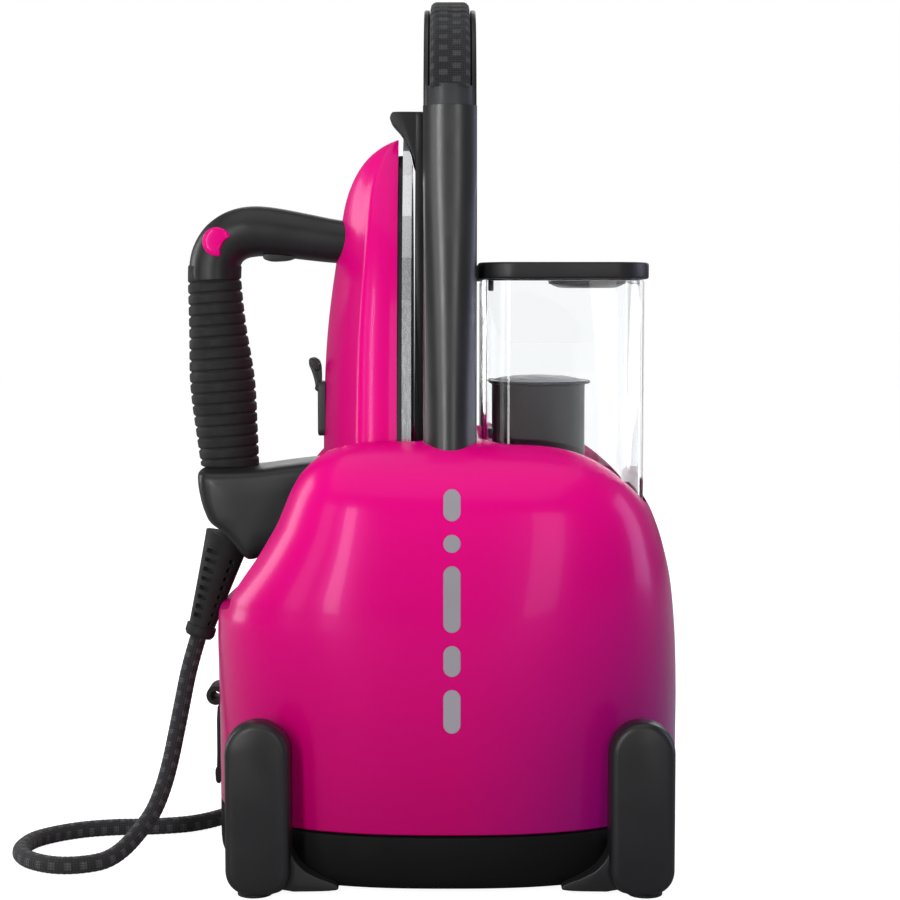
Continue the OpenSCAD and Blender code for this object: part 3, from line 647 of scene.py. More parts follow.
def make_hose():
    """One braided tube from the iron's strain relief round the coil to the gland at the back."""
    path = resample(hose_route(), 0.8)
    cell_long, cells_round, strands = 6.6, 4, 8
    twist = math.tau / 9.0

    def radius(s, a):
        over = math.sin(strands * a + twist * s * 4) * math.sin(strands * a - twist * s * 4)
        return HOSE_D / 2 * (0.985 + 0.03 * over)

    verts, faces, params = sweep(path, radius, 24, (0, 1, 0))
    uvs = [(turn * cells_round, s / cell_long) for turn, s in params]
    # The seam column would run its texture backwards, so its loops get the turn past the last one.
    hose = piece("braided_hose", verts, faces, None, "braided_hose", sharp=80, uvs=uvs)
    layer = hose.data.uv_layers["braid"].data
    for poly in hose.data.polygons:
        if len(poly.vertices) == 4:
            us = [layer[i].uv[0] for i in poly.loop_indices]
            if max(us) - min(us) > cells_round / 2:
                for i in poly.loop_indices:
                    if layer[i].uv[0] < 0.01:
                        layer[i].uv[0] += cells_round
    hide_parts("hose_run", "hose_coil", "hose_tail")
    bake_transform(hose)
    centre = resample(path, 6)
    length = float(travelled(path)[-1]) * MM
    return hose, [to_m(p) for p in centre], length


def make_hose_tie():
    """A soft strap round the coil's turns."""
    angle = math.radians(60)
    inner = rounded_rect(17.6, 22.4, 3.2, 6, (44.1, 12.0))
    outer = rounded_rect(19.8, 23.9, 4.0, 6, (44.1, 12.2))
    half = 4.0
    rings = []
    for outline, w in ((outer, -half + 0.4), (outer, half - 0.4), (inner, half), (inner, -half)):
        rings.append([(r, w, z) for r, z in outline])
    verts, faces = closed_loft(rings)
    turn = Matrix.Rotation(angle, 3, "Z")
    verts = [tuple(turn @ Vector(v) + Vector((COIL[0], COIL[1], 0))) for v in verts]
    verts = [(x, y, max(z, 0.15)) for x, y, z in verts]
    return piece("hose_tie_strap", verts, faces, "base", "soft_rubber", ["hose_tie"])


RELIEF_TOP = np.array([-110.5, 0, 155.0])
RELIEF_END = np.array([-125.8, 0, 104.3])


def make_strain_relief():
    """A tapered rubber sleeve with alternating slots and a plain collar at its end."""
    length = float(np.linalg.norm(RELIEF_END - RELIEF_TOP))
    steps = 150
    path = [RELIEF_TOP + (RELIEF_END - RELIEF_TOP) * (i / steps) for i in range(steps + 1)]
    slots, pitch, first = 8, 4.75, 9.0
    collar = length - 5.5
    # Where the notches lie round the sleeve, and half their width, in degrees
    notches = [(208, 17, 0), (332, 17, 0), (143, 6, 0.5), (37, 6, 0.5)]

    def radius(s, a):
        if s > collar:
            return 7.5 - 1.0 * max(0.0, (s - collar) / (length - collar) - 0.7) / 0.3
        r = 11.5 - (11.5 - 6.5) * (s / collar) ** 0.92
        for centre, half, shift in notches:
            k = (s - first) / pitch - shift
            i = round(k)
            if 0 <= i < slots and abs(k - i) < 0.21 and abs(math.degrees(a) - centre) < half:
                return r - 2.4
        return r

    verts, faces, _ = sweep(path, radius, 90, (0, 1, 0))
    return piece("strain_relief_sleeve", verts, faces, "iron", "soft_rubber", ["strain_relief"], sharp=30)


# ---------------------------------------------------------------- base

BODY_LO, BODY_HI = box_mm("body_shell")
BODY_MID = (BODY_LO[0] + BODY_HI[0]) / 2
HALF_W = (BODY_HI[0] - BODY_LO[0]) / 2
TOP = BODY_HI[2]
SEAM = BODY_LO[2]


def smooth_table(points):
    """Dense (height, value) columns through a table's points."""
    line = catmull([(z, v, 0) for z, v in points], 12)
    return line[:, 0], line[:, 1]


# Height, then how far the left flank, the right flank and the front stand out from the body's middle
LEFT = smooth_table([(28, HALF_W), (60, HALF_W), (95, HALF_W), (110, HALF_W - 0.1), (121, HALF_W - 0.9),
                     (127.5, HALF_W - 3.2), (133, 108), (142.2, 101.1), (151, 94), (159.6, 88), (167, 83.3),
                     (174, 80), (183, 76), (190.5, 71.6), (197, 65.8), (201.8, 60), (205, 53.5), (206.6, 47),
                     (TOP, 41)])
RIGHT = smooth_table([(28, HALF_W), (60, HALF_W), (80, HALF_W - 0.1), (100, HALF_W - 0.8), (117, 110.8),
                      (138, 108.2), (156, 103.8), (168, 99.6), (176, 95.7), (184, 90.0), (191, 83),
                      (197, 75), (201.5, 67.5), (204.6, 60), (206.4, 52), (TOP, 43)])
FRONT = smooth_table([(28, 94.6), (60, 95.8), (95, 96.4), (125, 95.8), (148, 94.2), (160, 92.9), (170, 91.0),
                      (179, 88.0), (187, 83.6), (194, 78.0), (199.5, 71.6), (203.5, 64.8), (205.8, 57.5),
                      (206.7, 51), (TOP, 42)])
POWER = smooth_table([(28, 2.5), (70, 2.6), (110, 2.95), (150, 3.6), (180, 4.4), (196, 5.2), (TOP, 5.6)])


def body_section(z, sides=200):
    """The body's plan at a height: a squircle, rounder low down and squarer at the shoulders."""
    left, right, depth, n = (float(np.interp(z, *t)) for t in (LEFT, RIGHT, FRONT, POWER))
    ring = []
    for k in range(sides):
        t = math.tau * k / sides
        c, s = math.cos(t), math.sin(t)
        x = (right if c > 0 else left) * math.copysign(abs(c) ** (2 / n), c)
        ring.append((BODY_MID + x, depth * math.copysign(abs(s) ** (2 / n), s), z))
    return ring


def inset_ring(ring, amount, z):
    """A plan ring drawn in towards the body's middle."""
    out = []
    for x, y, _ in ring:
        d = math.hypot(x - BODY_MID, y)
        f = max(0.0, 1 - amount / d)
        out.append((BODY_MID + (x - BODY_MID) * f, y * f, z))
    return out


CHANNEL_HALF = 57.0
TANK_LO, TANK_HI = box_mm("tank_shell")
PLATE_HI = box_mm("iron_rest_plate")[1]


def make_body():
    levels = [SEAM + 0.9, SEAM + 1.6, SEAM + 2.6] + list(np.linspace(33, 150, 46))
    levels += [TOP - 57 * math.cos(math.radians(a)) ** 1.7 for a in np.linspace(8, 89, 48)]
    rim = body_section(SEAM)
    rings = [inset_ring(rim, 1.4, SEAM + 0.1), inset_ring(rim, 0.5, SEAM + 0.35)]
    rings += [body_section(z) for z in levels]
    last = body_section(TOP)
    for f, drop in ((3, -0.02), (9, 0.0), (18, 0.0), (28, 0.0)):
        rings.append(inset_ring(last, f, TOP - drop))
    body = piece("body_cover", *loft(rings), "base", "pink_gloss", ["body_shell"])
    wall = PLATE_HI[0] + 0.1
    channel = prism(soft_outline([(wall, 240), (wall, 141), (-74, 141), (-140, 109.6), (-140, 240)], 1),
                    -CHANNEL_HALF, CHANNEL_HALF, "y", 3.0, 3)
    gap = 1.6
    mid = (TANK_LO[0] + TANK_HI[0]) / 2
    wide, deep = TANK_HI[0] - TANK_LO[0] + 2 * gap, 2 * (TANK_HI[1] + gap)
    pocket = prism(rounded_rect(wide, deep, 17.5, 10, (mid, 0)), 148, 260, "z", 1.5, 2)
    dock = lathe([(0, 130), (12, 130), (12, 150), (0, 150)], (43.5, 0, 0), 48)
    cut(body, channel, pocket, dock)
    round_edges(body, 0.9, 48, 3)
    return body


def make_tray():
    plan = body_section(SEAM)
    steps = [(2.5, 6), (2.6, 4), (3.2, 2.2), (4.4, 1.0), (6, 0.4), (9, 0.1), (14, 0), (SEAM - 1.6, 0),
             (SEAM - 0.9, 0.25), (SEAM - 0.4, 0.9), (SEAM - 0.3, 4)]
    rings = [inset_ring(plan, d, z) for z, d in steps]
    piece("tray", *loft(rings), "base", "black_plastic", ["base_tray"], material="tray_black")


def stadium(half, lo, hi, foot_r, steps=10):
    """An upright tab: a round top and a foot with rounded corners, as (across, up) points."""
    out = arc(0, hi - half, half, 0, 180, 2 * steps)
    for sx, start in ((-1, 180), (1, 270)):
        out += arc(sx * (half - foot_r), lo + foot_r, foot_r, start, start + 90, steps)
    return out


def make_foot(node, sx, sy):
    """A corner foot: a tall rounded ear standing off the body, on a low block that meets the tray."""
    top = box_mm(node)[1][2] - 0.1
    mid = sx * 87.5
    skin = [(99.9, 3.4), (99.4, 1.9), (98.6, 0.9), (97.4, 0.35), (96, 0.1), (92, -0.2), (88.6, -0.5),
            (87.6, 0.2), (87.1, 1.2)]
    rings = []
    for y, inset in skin:
        outline = stadium(14.9 - inset, 1.5 + inset, top - max(inset, 0), 11 - inset)
        rings.append([(mid + u, sy * y, v) for u, v in outline])
    ear = loft(rings)
    plan = rounded_rect(23, 36, 9, 8, (sx * 87, sy * 80.2))
    block = prism(plan, 1.6, 21, "z", 2.8, 4)
    # The web that fills the corner between block and ear
    web = prism(soft_outline([(88, 18), (88, 31), (84.5, 24.5), (78, 21), (70, 20), (70, 18)], 2),
                mid - 10.5, mid + 10.5, "x", 1.2, 2)
    # The toe that flares inwards from the block to the tray
    slope = [(6, 1.8), (6, 25), (13.5, 24.5), (16, 17), (21, 11.5), (28, 8.0), (36, 5.2), (37, 2.2)]
    toe = prism(soft_outline([(mid - sx * u, z) for u, z in slope], 2), 70, 93.5, "y", 1.4, 3)
    parts = join(ear, block, mirrored(web, sy), mirrored(toe, sy))
    piece(node + "_ear", *parts, "base", "black_plastic", [node], sharp=42)


def make_mark():
    """A generic pale mark on the body's front: an upright row of rounded bars that follow its curve."""
    centre, half = 0.9, 3.9
    parts = []
    for low, high in ((76, 96), (102, 116), (122, 152), (158, 166), (172, 186)):
        rings = []
        for z in low + (high - low) * (1 - np.cos(np.linspace(0, math.pi, 29))) / 2:
            end = max(0.0, half - min(z - low, high - z))
            w = max(0.12, math.sqrt(max(0.0, half**2 - end**2)))
            xs = [centre + w * f for f in (-1, -0.96, -0.5, 0, 0.5, 0.96, 1)]
            lift = (0.05, 0.2, 0.22, 0.22, 0.22, 0.2, 0.05)
            ring = [(x, front_surface(x, z) - up, z) for x, up in zip(xs, lift)]
            ring += [(x, front_surface(x, z) + 0.4, z) for x in reversed(xs)]
            rings.append(ring)
        parts.append(loft(rings))
    piece("front_mark", *join(*parts), "base", "grey_plastic", material="mark")


def front_surface(x, z):
    """Where the body's front lies at a place across and up."""
    ring = body_section(z, 720)
    front = sorted((p[0], p[1]) for p in ring if p[1] < -30)
    return float(np.interp(x, [p[0] for p in front], [p[1] for p in front]))


def make_strap():
    """The soft strap with a rolled eye on the left flank."""
    x = BODY_LO[0] - 0.1
    half = 9.0
    strip = prism(soft_outline([(x - 0.1, 31), (x - 2.9, 31.5), (x - 3.3, 38), (x - 2.2, 40), (x - 2.2, 70),
                                (x - 0.1, 71)], 1), -half, half, "y", 0.5, 2)
    eye_x, eye_z = x - 2.6, 75.5
    ring = [(4.7, -half + 0.5), (4.8, -half + 1), (4.8, half - 1), (4.7, half - 0.5), (4.3, half),
            (2.7, half), (2.3, half - 0.4), (2.3, -half + 0.4), (2.7, -half), (4.3, -half),
            (4.7, -half + 0.5)]
    eye = moved(lathe(ring, (0, 0, 0), 40), lambda a, b, c: (eye_x + a, c, eye_z + b))
    piece("flank_strap", *join(strip, eye), "base", "soft_rubber", ["hose_strap"])


# ---------------------------------------------------------------- arch

ARCH_HI = box_mm("grip_pad")[1]
ARCH_HALF = ARCH_HI[1]
ARCH_TOP = ARCH_HI[2]
ARCH_R = 56.0
ARCH_T = 22.0
LEG_Z = 187.0
LEG_HALF = 12.45
COLLAR_LO, COLLAR_HI = box_mm("handle_collars")


def arch_line(start_z, end_angle=None, start_angle=0.0, step=3.0):
    """Stations along the arch's outside, from the front leg over to the rear one, as (y, z, angle)."""
    spring = ARCH_TOP - ARCH_R
    out = []
    if start_angle == 0 and start_z < spring:
        steps = max(2, int((spring - start_z) / 12))
        out += [(-ARCH_HALF, z, 0.0) for z in np.linspace(start_z, spring, steps)[:-1]]
    last = 90.0 if end_angle is None else end_angle
    for a in np.linspace(start_angle, last, max(2, int((last - start_angle) / step) + 1)):
        t = math.radians(a)
        out.append((-(ARCH_HALF - ARCH_R) - ARCH_R * math.cos(t), spring + ARCH_R * math.sin(t), a))
    if end_angle is None:
        out += [(y, ARCH_TOP, 90.0) for y in (-9, -6, -3, 0)]
        out += [(-y, z, 180 - a) for y, z, a in reversed(out) if y < 0]
    return out


def arch_sweep(profile, stations):
    """Sweeps (across, depth from the outside) points along the arch."""
    rings = []
    for y, z, a in stations:
        t = math.radians(a)
        inward = (math.cos(t), -math.sin(t))
        rings.append([(x, y + d * inward[0], z + d * inward[1]) for x, d in profile])
    return loft(rings)


def leg_profile(half, crown, power, depth):
    """A leg's section: a broad crowned outer face, round shoulders and a flatter inside."""
    out = [(half * t, crown * abs(t) ** power) for t in np.linspace(-1, 1, 21)]
    out += arc(half - 3.5, depth - 3.5, 3.5, 0, 90, 6)[1:]
    out += [(-x, d) for x, d in reversed(out[-6:])]
    return out


COLLAR_FROM, COLLAR_TO = (math.degrees(math.asin((z - ARCH_TOP + ARCH_R) / ARCH_R))
                          for z in (COLLAR_LO[2], COLLAR_HI[2]))


def make_arch():
    # The arch starts just inside the body's top, so the covers rise straight out of it.
    # Their faces are rounder low down than up at the collars.
    foot, leg = leg_profile(LEG_HALF, 8.6, 2.2, ARCH_T), leg_profile(LEG_HALF, 4.6, 2.6, ARCH_T)
    for side, node in ((1, "leg_cover_front"), (-1, "leg_cover_rear")):
        stations = arch_line(LEG_Z, COLLAR_FROM + 0.5)
        low, (high, faces) = arch_sweep(foot, stations)[0], arch_sweep(leg, stations)
        verts = []
        for a, b in zip(low, high):
            blend = min(1, max(0, (b[2] - LEG_Z - 30) / 110))
            verts.append((b[0], (a[1] + (b[1] - a[1]) * blend) * side, b[2]))
        piece(node + "_skin", verts, faces, "base", "black_plastic", [node], sharp=48, material="leg_black")
    # Each collar sits between the channel's flanges, crowned like the leg below it.
    band = [(10.3 * t, 0.1 + 3.7 * abs(t) ** 2.6) for t in np.linspace(-1, 1, 21)] + [(9.5, 6.2), (-9.5, 6.2)]
    parts = []
    for side in (1, -1):
        stations = arch_line(0, COLLAR_TO, COLLAR_FROM + 0.6, 1.0)
        parts.append(mirrored(arch_sweep(band, stations), side))
    piece("collars", *join(*parts), "base", "grey_plastic", ["handle_collars"], sharp=48)
    flange, groove = 4.0, 5.6
    channel = [(-12.2, flange + 0.5), (-11.6, flange), (-10.2, flange), (-9.7, flange + 0.5), (-9.6, groove),
               (9.6, groove), (9.7, flange + 0.5), (10.2, flange), (11.6, flange), (12.2, flange + 0.5)]
    channel += arc(LEG_HALF - 4, ARCH_T - 4, 4, 0, 90, 5)
    channel += [(-x, d) for x, d in reversed(channel[-6:])]
    stations = arch_line(0, None, COLLAR_FROM + 0.1)
    piece("grip_channel", *arch_sweep(channel, stations), "base", "black_plastic", ["grip_shell"], sharp=40)


def make_grip_pad():
    """The woven pad let into the arch: a crowned strip of diagonal cord over its whole length."""
    stations = arch_line(0, None, COLLAR_TO - 1.0, 0.6)
    fine = []
    for a, b in zip(stations, stations[1:]):
        fine.append(a)
        if math.hypot(b[0] - a[0], b[1] - a[1]) > 1.2:
            fine += [tuple(a[i] + (b[i] - a[i]) * k / 4 for i in range(3)) for k in (1, 2, 3)]
    fine.append(stations[-1])
    half, across, cell_wide, cell_long = 9.3, 40, 6.2, 6.6
    s = 0.0
    rings, uvs = [], []
    for i, (y, z, a) in enumerate(fine):
        if i:
            s += math.hypot(y - fine[i - 1][0], z - fine[i - 1][1])
        t = math.radians(a)
        inward = (math.cos(t), -math.sin(t))
        ring = []
        for k in range(across + 1):
            x = half * (2 * k / across - 1)
            edge = max(0.0, abs(x) - half + 3.2) / 3.2
            depth = 0.35 + 3.2 * (1 - math.sqrt(max(0.0, 1 - edge**2)))
            weave = math.sin((x + s) * math.tau / 2.1) * math.sin((x - s) * math.tau / 2.1)
            depth -= 0.28 * weave
            ring.append((x, y + depth * inward[0], z + depth * inward[1]))
            uvs.append((x / cell_wide + 10, s / cell_long))
        for x in (half - 0.2, -half + 0.2):
            ring.append((x, y + 5.4 * inward[0], z + 5.4 * inward[1]))
            uvs.append((x / cell_wide + 10, s / cell_long))
        rings.append(ring)
    verts, faces = loft(rings)
    pad = piece("woven_grip", verts, faces, "base", "woven_pad", ["grip_pad"], sharp=70, uvs=uvs)


# ---------------------------------------------------------------- iron rest

SOLE_LO, SOLE_HI = box_mm("soleplate")


def make_rest_plate():
    x1 = PLATE_HI[0]
    plate_x = SOLE_HI[0] + 1.6
    top = PLATE_HI[2]
    half = [(0, 145), (36, 145), (39, 180), (40, 210), (38.5, 240), (34.5, 275), (27, 307), (18.5, 330),
            (13.4, 345), (12, 355), (11.6, top - 1.2), (9.5, top), (0, top)]
    right = catmull([(y, z, 0) for y, z in half[1:-1]], 4)[:, :2]
    outline = [(0, 145)] + [tuple(p) for p in right] + [(0, top)]
    outline += [(-y, z) for y, z in outline[-2:0:-1]]
    slab = prism(outline, plate_x, x1, "x", 1.0, 2)
    hook = catmull([(x1 - 0.4, 329, 0), (-17.4, 336, 0), (-19.2, 343.3, 0), (-21.6, 349, 0),
                    (-24.6, 353.7, 0), (-27.6, 357.0, 0), (-29.2, 359.8, 0), (-28.4, 362.5, 0),
                    (-26, top, 0), (x1 - 0.6, top, 0)], 4)
    beak = prism([(p[0], p[1]) for p in hook], -10.4, 10.4, "y", 1.6, 3)
    piece("rest_plate", *join(slab, beak), "base", "black_plastic", ["iron_rest_plate"], sharp=42)


# ---------------------------------------------------------------- iron

# Height and how far back the cover's spine lies
SPINE = [(151, -60.4), (156, -61.8), (165, -62.4), (185, -62.8), (205, -62.7), (225, -62.2), (240, -61.7),
         (258, -60.4), (275, -58.4), (290, -56.2), (305, -54.0), (318, -51.8), (328, -48.6), (336, -44.4),
         (342, -39.6), (346, -34.6), (348.6, -30.2), (350.2, -26.4)]


def sole_half(z):
    """Half the soleplate's width at a height: a pointed arch with a rounded heel."""
    tip = SOLE_LO[2] + 202
    s = tip - z
    if s <= 0:
        return 0.0
    wide = SOLE_HI[1]
    w = wide * (1 - (1 - min(s / 160, 1)) ** 2) ** 0.75
    heel = z - SOLE_LO[2]
    if heel < 26:
        w = min(w, wide - 12 * (1 - min(1, max(heel, 0) / 26)) ** 2.4)
    return w


def make_iron_cover():
    """The iron's hood, with a soft crease up each side where the flank turns into the sloping back."""
    front = SOLE_LO[0] - 2.4
    line = catmull([(x, 0, z) for z, x in SPINE], 5)
    # How far back and how wide the section is at each of its points, as shares of its depth and half-width
    shares = [(0, 0.985), (0.12, 1.0), (0.28, 0.995), (0.40, 0.975), (0.475, 0.945), (0.52, 0.905),
              (0.56, 0.845), (0.63, 0.74), (0.72, 0.615), (0.82, 0.465), (0.91, 0.30), (0.975, 0.14)]
    half = catmull([(b, w, 0) for b, w in shares] + [(1.0, 0, 0)], 5)[:, :2]
    rings = []
    for x_back, _, z in line:
        deep = max(front - x_back, 0.6)
        wide = max(sole_half(z) - 1.6, 0.8)
        ring = [(front - b * deep, -w * wide, z) for b, w in half]
        ring += [(x, -y, z) for x, y, z in reversed(ring[:-1])]
        rings.append(ring)
    bottom = [(front - (front - x) * 0.93, y * 0.95, z - 0.9) for x, y, z in rings[0]]
    verts, faces = loft([bottom] + rings)
    piece("iron_hood", verts, faces, "iron", "pink_gloss", ["iron_cover"], sharp=40)


# How far back, how high and how thick the grip is, down its length
GRIP = [(-116.1, 289.6, 13.2), (-116.3, 282, 13.2), (-115.7, 270, 13.6), (-114.8, 257, 14.3),
        (-113.8, 245, 15.3), (-112.9, 233, 16.1), (-112.0, 221, 16.0), (-111.2, 211, 15.5),
        (-110.4, 202, 15.1), (-109.5, 191, 14.5), (-109.4, 189.4, 14.2)]


def make_handle():
    # The arm, its bend and the neck that runs down into the grip
    arm = catmull([(-45, 0, 299.6), (-58, 0, 301.0), (-72, 0, 303.1), (-84, 0, 304.9), (-95, 0, 305.7),
                   (-104, 0, 304.2), (-111, 0, 299.8), (-115, 0, 293.5), (-116.3, 0, 287),
                   (-116.3, 0, 282)], 6)
    total = float(travelled(arm)[-1])

    def radius(s, a):
        f = s / total
        return 10.3 + 2.3 * min(1, f / 0.62) + 0.1 * math.cos(2 * a)

    verts, faces, _ = sweep(arm, radius, 56, (0, 1, 0))
    piece("handle_arm", verts, faces, "iron", "black_plastic", ["handle_shell"], sharp=50)


def make_grip():
    """The soft grip: a swelling sleeve with narrow grooves cut a little aslant."""
    pitch, first, slant = 5.45, 8.6, 0.075
    top, end = GRIP[0][1], GRIP[-1][1]
    dense = catmull([(x, z, r) for x, z, r in GRIP], 10)
    dense = dense[np.argsort(dense[:, 1])]
    rings = []
    for z in np.arange(top, end, -0.36):
        x, r = (float(np.interp(z, dense[:, 1], dense[:, i])) for i in (0, 2))
        edge = max(0.0, 1 - (top - z) / 1.4, 1 - (z - end) / 1.0)
        ring = []
        for t in np.linspace(0, math.tau, 72, endpoint=False):
            k = (top - first - z + slant * r * math.cos(t)) / pitch
            off = (k - round(k)) * pitch
            groove = math.exp(-(off / 0.62) ** 2) if -0.4 < k < 16.4 else 0.0
            rad = r - 1.05 * groove - 1.3 * edge**2
            ring.append((x + rad * math.cos(t), 0.92 * rad * math.sin(t), z))
        rings.append(ring)
    piece("grip_cover", *loft(rings), "iron", "soft_rubber", ["grip_sleeve"], sharp=75)


def make_heel():
    """The housing at the heel that joins grip, hood and strain relief."""
    outline = soft_outline([(-124.2, 188.6), (-117, 189.6), (-94.7, 190.2), (-80, 192.4), (-66, 194),
                            (-58, 194), (-56, 156), (-66, 152.5), (-80, 149.5), (-90, 146.6),
                            (-98.6, 143.8), (-102.4, 146.6), (-106, 151.6), (-111.8, 158.2), (-118.8, 163.2),
                            (-122.2, 172), (-124, 181)], 2)
    rings = []
    for share in np.linspace(-1, 1, 25):
        f = 0.35 + 0.65 * (1 - abs(share) ** 3.2) ** (1 / 2.4)
        y = 24.6 * math.sin(share * math.pi / 2)
        rings.append([(x, y, z) for x, z in scaled(outline, middle(outline), f)])
    piece("heel_cover", *loft(rings), "iron", "black_plastic", ["heel_housing"], sharp=40)


BUTTON = (-113.6, 300.2)
# How far out the cap's outline lies, and its share of its full size there
DOME = [(7.7, 1), (12.6, 1), (13.3, 0.98), (13.8, 0.93), (14.1, 0.84), (14.3, 0.6), (14.35, 0.3)]


def make_buttons():
    """The two round pink side buttons, each with a bite that follows the handle's inner corner."""
    r, bite_r = 7.1, 8.5
    bite = (BUTTON[0] + 10.2, BUTTON[1] - 5.4)
    outline = []
    for k in range(96):
        t = math.tau * k / 96
        x, z = BUTTON[0] + r * math.cos(t), BUTTON[1] + r * math.sin(t)
        d = math.hypot(x - bite[0], z - bite[1])
        if d < bite_r:
            x, z = (bite[0] + (x - bite[0]) * bite_r / d, bite[1] + (z - bite[1]) * bite_r / d)
        outline.append((x, z))
    for sign, name, body in ((-1, "steam_button_near", "button_near"), (1, "steam_button_far", "button_far")):
        rings = []
        for y, f in DOME:
            rings.append([(x, sign * y, z) for x, z in scaled(outline, middle(outline), f)])
        piece(name + "_cap", *loft(rings), body, "pink_gloss", [name], sharp=50)


def make_trigger():
    lo, hi = box_mm("steam_trigger")
    outline = soft_outline([(lo[0], hi[2]), (lo[0] + 0.4, lo[2] + 1.4), (lo[0] + 4, lo[2] + 0.1),
                            (hi[0] - 5, lo[2] + 0.6), (hi[0], hi[2] - 1.4), (hi[0], hi[2])], 2)
    piece("trigger_key", *prism(outline, lo[1] + 0.1, hi[1] - 0.1, "y", 0.9, 3), "trigger", "black_plastic",
          ["steam_trigger"])


def make_selector():
    """The lever on the hood and the plate it turns in."""
    lo, hi = box_mm("selector_plate")
    ring = rounded_rect(15.8, hi[2] - lo[2], 3.5, 6, (0, (hi[2] + lo[2]) / 2))
    plate = prism(ring, lo[0], -61.0, "x", 0.8, 3)
    piece("selector_base", *plate, "iron", "grey_plastic", ["selector_plate"])
    px, pz = -65.0, 228.7
    stem = soft_outline([(px - 1.3, pz - 2), (px + 1.1, pz - 2), (px + 1.5, pz + 5), (px + 1.3, pz + 11.0),
                         (px + 0.2, pz + 14.0), (px - 2.2, pz + 15.2), (px - 4.6, pz + 14.4),
                         (px - 4.9, pz + 11.6), (px - 3.2, pz + 7.6), (px - 1.9, pz + 3)], 2)
    pad = soft_outline([(px + 1.0, pz + 8.6), (px + 0.8, pz + 11.8), (px - 1.6, pz + 14),
                        (px - 3.6, pz + 15.1), (px - 4.9, pz + 13.5), (px - 3.2, pz + 10.6),
                        (px - 1.7, pz + 8.6)], 2)
    pin = cross_pin(px, pz, 7.6, 1.6)
    paddle = join(prism(stem, -2.7, 2.7, "y", 0.6, 2), prism(pad, -5.9, 5.9, "y", 0.9, 3), pin)
    piece("selector_paddle", *paddle, "selector", "black_plastic", ["selector_lever"])


# ---------------------------------------------------------------- tank

LID_LO, LID_HI = box_mm("tank_lid")
CUP = (43.5, 0)
WELL = (67.8, 0)
WELL_R = 19


def make_tank():
    mid = ((TANK_LO[0] + TANK_HI[0]) / 2, 0)
    w, d = TANK_HI[0] - TANK_LO[0], 2 * TANK_HI[1]
    wall, low, high = 2.0, TANK_LO[2], TANK_HI[2] - 0.2

    def ring(inset, z, r):
        return [(x, y, z) for x, y in rounded_rect(w - 2 * inset, d - 2 * inset, r, 9, mid)]

    outside = [(3.4, low, 12.6), (1.6, low + 0.4, 14.4), (0.5, low + 1.5, 15.5), (0, low + 3.2, 16),
               (0, high - 0.8, 16), (0.3, high - 0.2, 15.7)]
    inside = [(wall - 0.3, high - 0.2, 14.3), (wall, high - 0.8, 14), (wall, low + 4.5, 14),
              (wall + 0.6, low + 3, 13.4), (wall + 2.2, low + 2, 11.8)]
    rings = [ring(*x) for x in outside + inside]
    piece("tank_walls", *loft(rings), "tank", "clear_tank", ["tank_shell"], sharp=60)


def make_lid():
    mid = ((LID_LO[0] + LID_HI[0]) / 2, 0)
    w, d = LID_HI[0] - LID_LO[0] - 0.2, LID_HI[1] - LID_LO[1] - 0.2
    top, under = LID_HI[2] - 0.1, TANK_HI[2] + 0.05
    plate = prism(rounded_rect(w, d, 18, 12, mid), under, top, "z", 1.1, 3)
    lid = piece("lid_cover", *plate, "lid", "black_plastic", ["tank_lid"])
    bore = [(0, under - 2.6), (WELL_R, under - 2.6), (WELL_R, top + 3), (0, top + 3)]
    well = lathe(bore, (*WELL, 0), 64)
    slot_cut = prism(rounded_rect(6, 22.4, 0.8, 3, (WELL[0] - WELL_R, 0)), top - 6, top + 3, "z")
    cut(lid, well, slot_cut)
    round_edges(lid, 0.4, 50, 2)
    floor_z = under - 2.6
    dish = lathe([(20.3, under + 0.1), (20.1, under - 0.6), (17.5, floor_z - 0.6), (14.2, floor_z - 1.8),
                  (11.4, floor_z - 2.0), (11.0, floor_z - 1.6), (11.0, floor_z - 0.3), (11.5, floor_z),
                  (19.1, floor_z), (19.1, under + 0.4), (20.3, under + 0.1)], (*WELL, 0), 64)
    rim_out = rounded_rect(TANK_HI[0] - TANK_LO[0] - 4.8, 2 * TANK_HI[1] - 4.8, 13.4, 8, mid)
    rim_in = rounded_rect(TANK_HI[0] - TANK_LO[0] - 8, 2 * TANK_HI[1] - 8, 12, 8, mid)
    rings = [[(x, y, z) for x, y in o] for o, z in ((rim_out, under), (rim_out, under - 0.7),
                                                      (rim_in, under - 0.9), (rim_in, under))]
    tab = prism(rounded_rect(3.0, 26, 1.2, 4, (TANK_LO[0] + 4.1, -18)), under - 6, under, "z", 0.6, 2)
    parts = join(dish, closed_loft(rings), tab)
    piece("lid_well", *parts, "lid", "black_plastic")


def make_flap():
    top = box_mm("filler_flap")[1][2]
    disc = lathe([(0, top - 2.4), (17.2, top - 2.4), (18.2, top - 2.0), (18.35, top - 1.2),
                  (18.0, top - 0.35), (17.0, top - 0.1), (12.5, top - 0.1), (11.8, top - 0.5),
                  (0, top - 0.9)], (*WELL, 0), 64)
    z = LID_HI[2] - 2.4
    pin = cross_pin(WELL[0] - WELL_R, z, 12.8)
    lug = prism(rounded_rect(4.4, 9, 1, 3, (WELL[0] - 17.2, 0)), z - 1.2, z + 1.2, "z", 0.4, 2)
    piece("flap_disc", *join(disc, pin, lug), "flap", "black_plastic", ["filler_flap"])


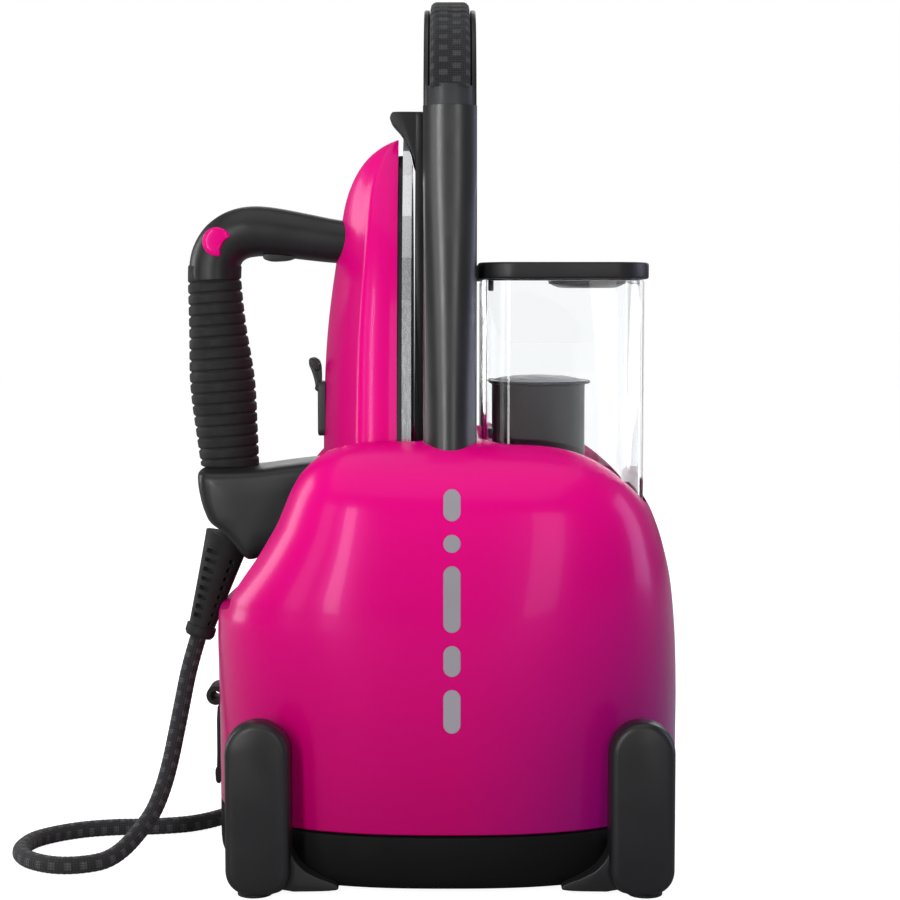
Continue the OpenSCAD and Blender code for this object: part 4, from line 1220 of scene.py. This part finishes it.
def make_cup():
    low, top = TANK_LO[2] + 2, 232.0
    r, wall = 23.3, 1.8
    shell = lathe([(0, low + 0.1), (r - 1.2, low + 0.1), (r - 0.2, low + 1), (r, low + 2.5), (r, top - 2.6),
                   (r + 0.4, top - 2.0), (25.4, top - 1.7), (26.05, top - 1.2), (26.05, top - 0.5),
                   (25.6, top - 0.05), (r - 0.9, top - 0.05), (r - wall, top - 0.8), (r - wall, low + 14),
                   (0, low + 14)], (*CUP, 0), 80)
    ledge = prism(rounded_rect(5.0, 13, 1.2, 4, (TANK_LO[0] + 4.8, 0)), 203, 208, "z", 0.8, 2)
    piece("filter_cup_body", *join(shell, ledge), "tank", "black_plastic", ["filter_cup"])
    lift = 2.5
    dome = [(0, low + 14.2), (21.2, low + 14.2), (21.3, top - 0.2)]
    dome += [(21.3 * math.cos(math.radians(a)), top - 0.1 + lift * math.sin(math.radians(a)))
             for a in np.linspace(4, 86, 12)]
    dome.append((0, top - 0.1 + lift))
    piece("filter_cap_dome", *lathe(dome, (*CUP, 0), 64), "tank", "resin", ["filter_resin"], sharp=50)


# ---------------------------------------------------------------- the works and fittings that stay CAD

def dress_cad():
    """Gives every CAD node its slot's material."""
    slots = {s["node"]: s["material_slot"] for s in frame["record"]["subparts"]}
    for name, ob in frame["nodes"].items():
        mat = MATS[slots[name]]
        if not ob.material_slots:
            ob.data.materials.append(mat)
        for slot in ob.material_slots:
            slot.material = mat


# ---------------------------------------------------------------- the scene

FLOOR_HALF = 6.0
FLOOR_GLOW = 0.93


def make_floor():
    """A pale floor that fades into the white behind it."""
    mesh = bpy.data.meshes.new("floor")
    corners = [(x * FLOOR_HALF, y * FLOOR_HALF, 0) for x, y in ((-1, -1), (1, -1), (1, 1), (-1, 1))]
    mesh.from_pydata(corners, [], [(0, 1, 2, 3)])
    floor = bpy.data.objects.new("floor", mesh)
    bpy.context.collection.objects.link(floor)
    mat = bpy.data.materials.new("floor")
    mat.use_nodes = True
    tree = mat.node_tree
    bsdf = tree.nodes["Principled BSDF"]
    matt = {"Base Color": (0.4, 0.4, 0.4, 1), "Roughness": 0.8, "Specular IOR Level": 0.1}
    for socket, value in matt.items():
        bsdf.inputs[socket].default_value = value
    scale = add_node(tree, "Math", {1: FLOOR_GLOW}, (seen_ray(tree),), operation="MULTIPLY")
    glow = add_node(tree, "Emission")
    tree.links.new(scale.outputs[0], glow.inputs["Strength"])
    both = add_node(tree, "AddShader", {}, (bsdf.outputs[0], glow.outputs[0]))
    tree.links.new(both.outputs[0], tree.nodes["Material Output"].inputs["Surface"])
    mesh.materials.append(mat)


make_camera()
make_light()
make_floor()
dress_cad()
hose, hose_line, hose_length = make_hose()
tie = make_hose_tie()
relief = make_strain_relief()
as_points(hose_line)
make_body()
make_tray()
for node, sx, sy in (("foot_front_left", -1, -1), ("foot_front_right", 1, -1),
                     ("foot_rear_left", -1, 1), ("foot_rear_right", 1, 1)):
    make_foot(node, sx, sy)
make_mark()
make_strap()
make_arch()
make_grip_pad()
make_rest_plate()
make_iron_cover()
make_handle()
make_grip()
make_heel()
make_buttons()
make_trigger()
make_selector()
make_tank()
make_lid()
make_flap()
make_cup()
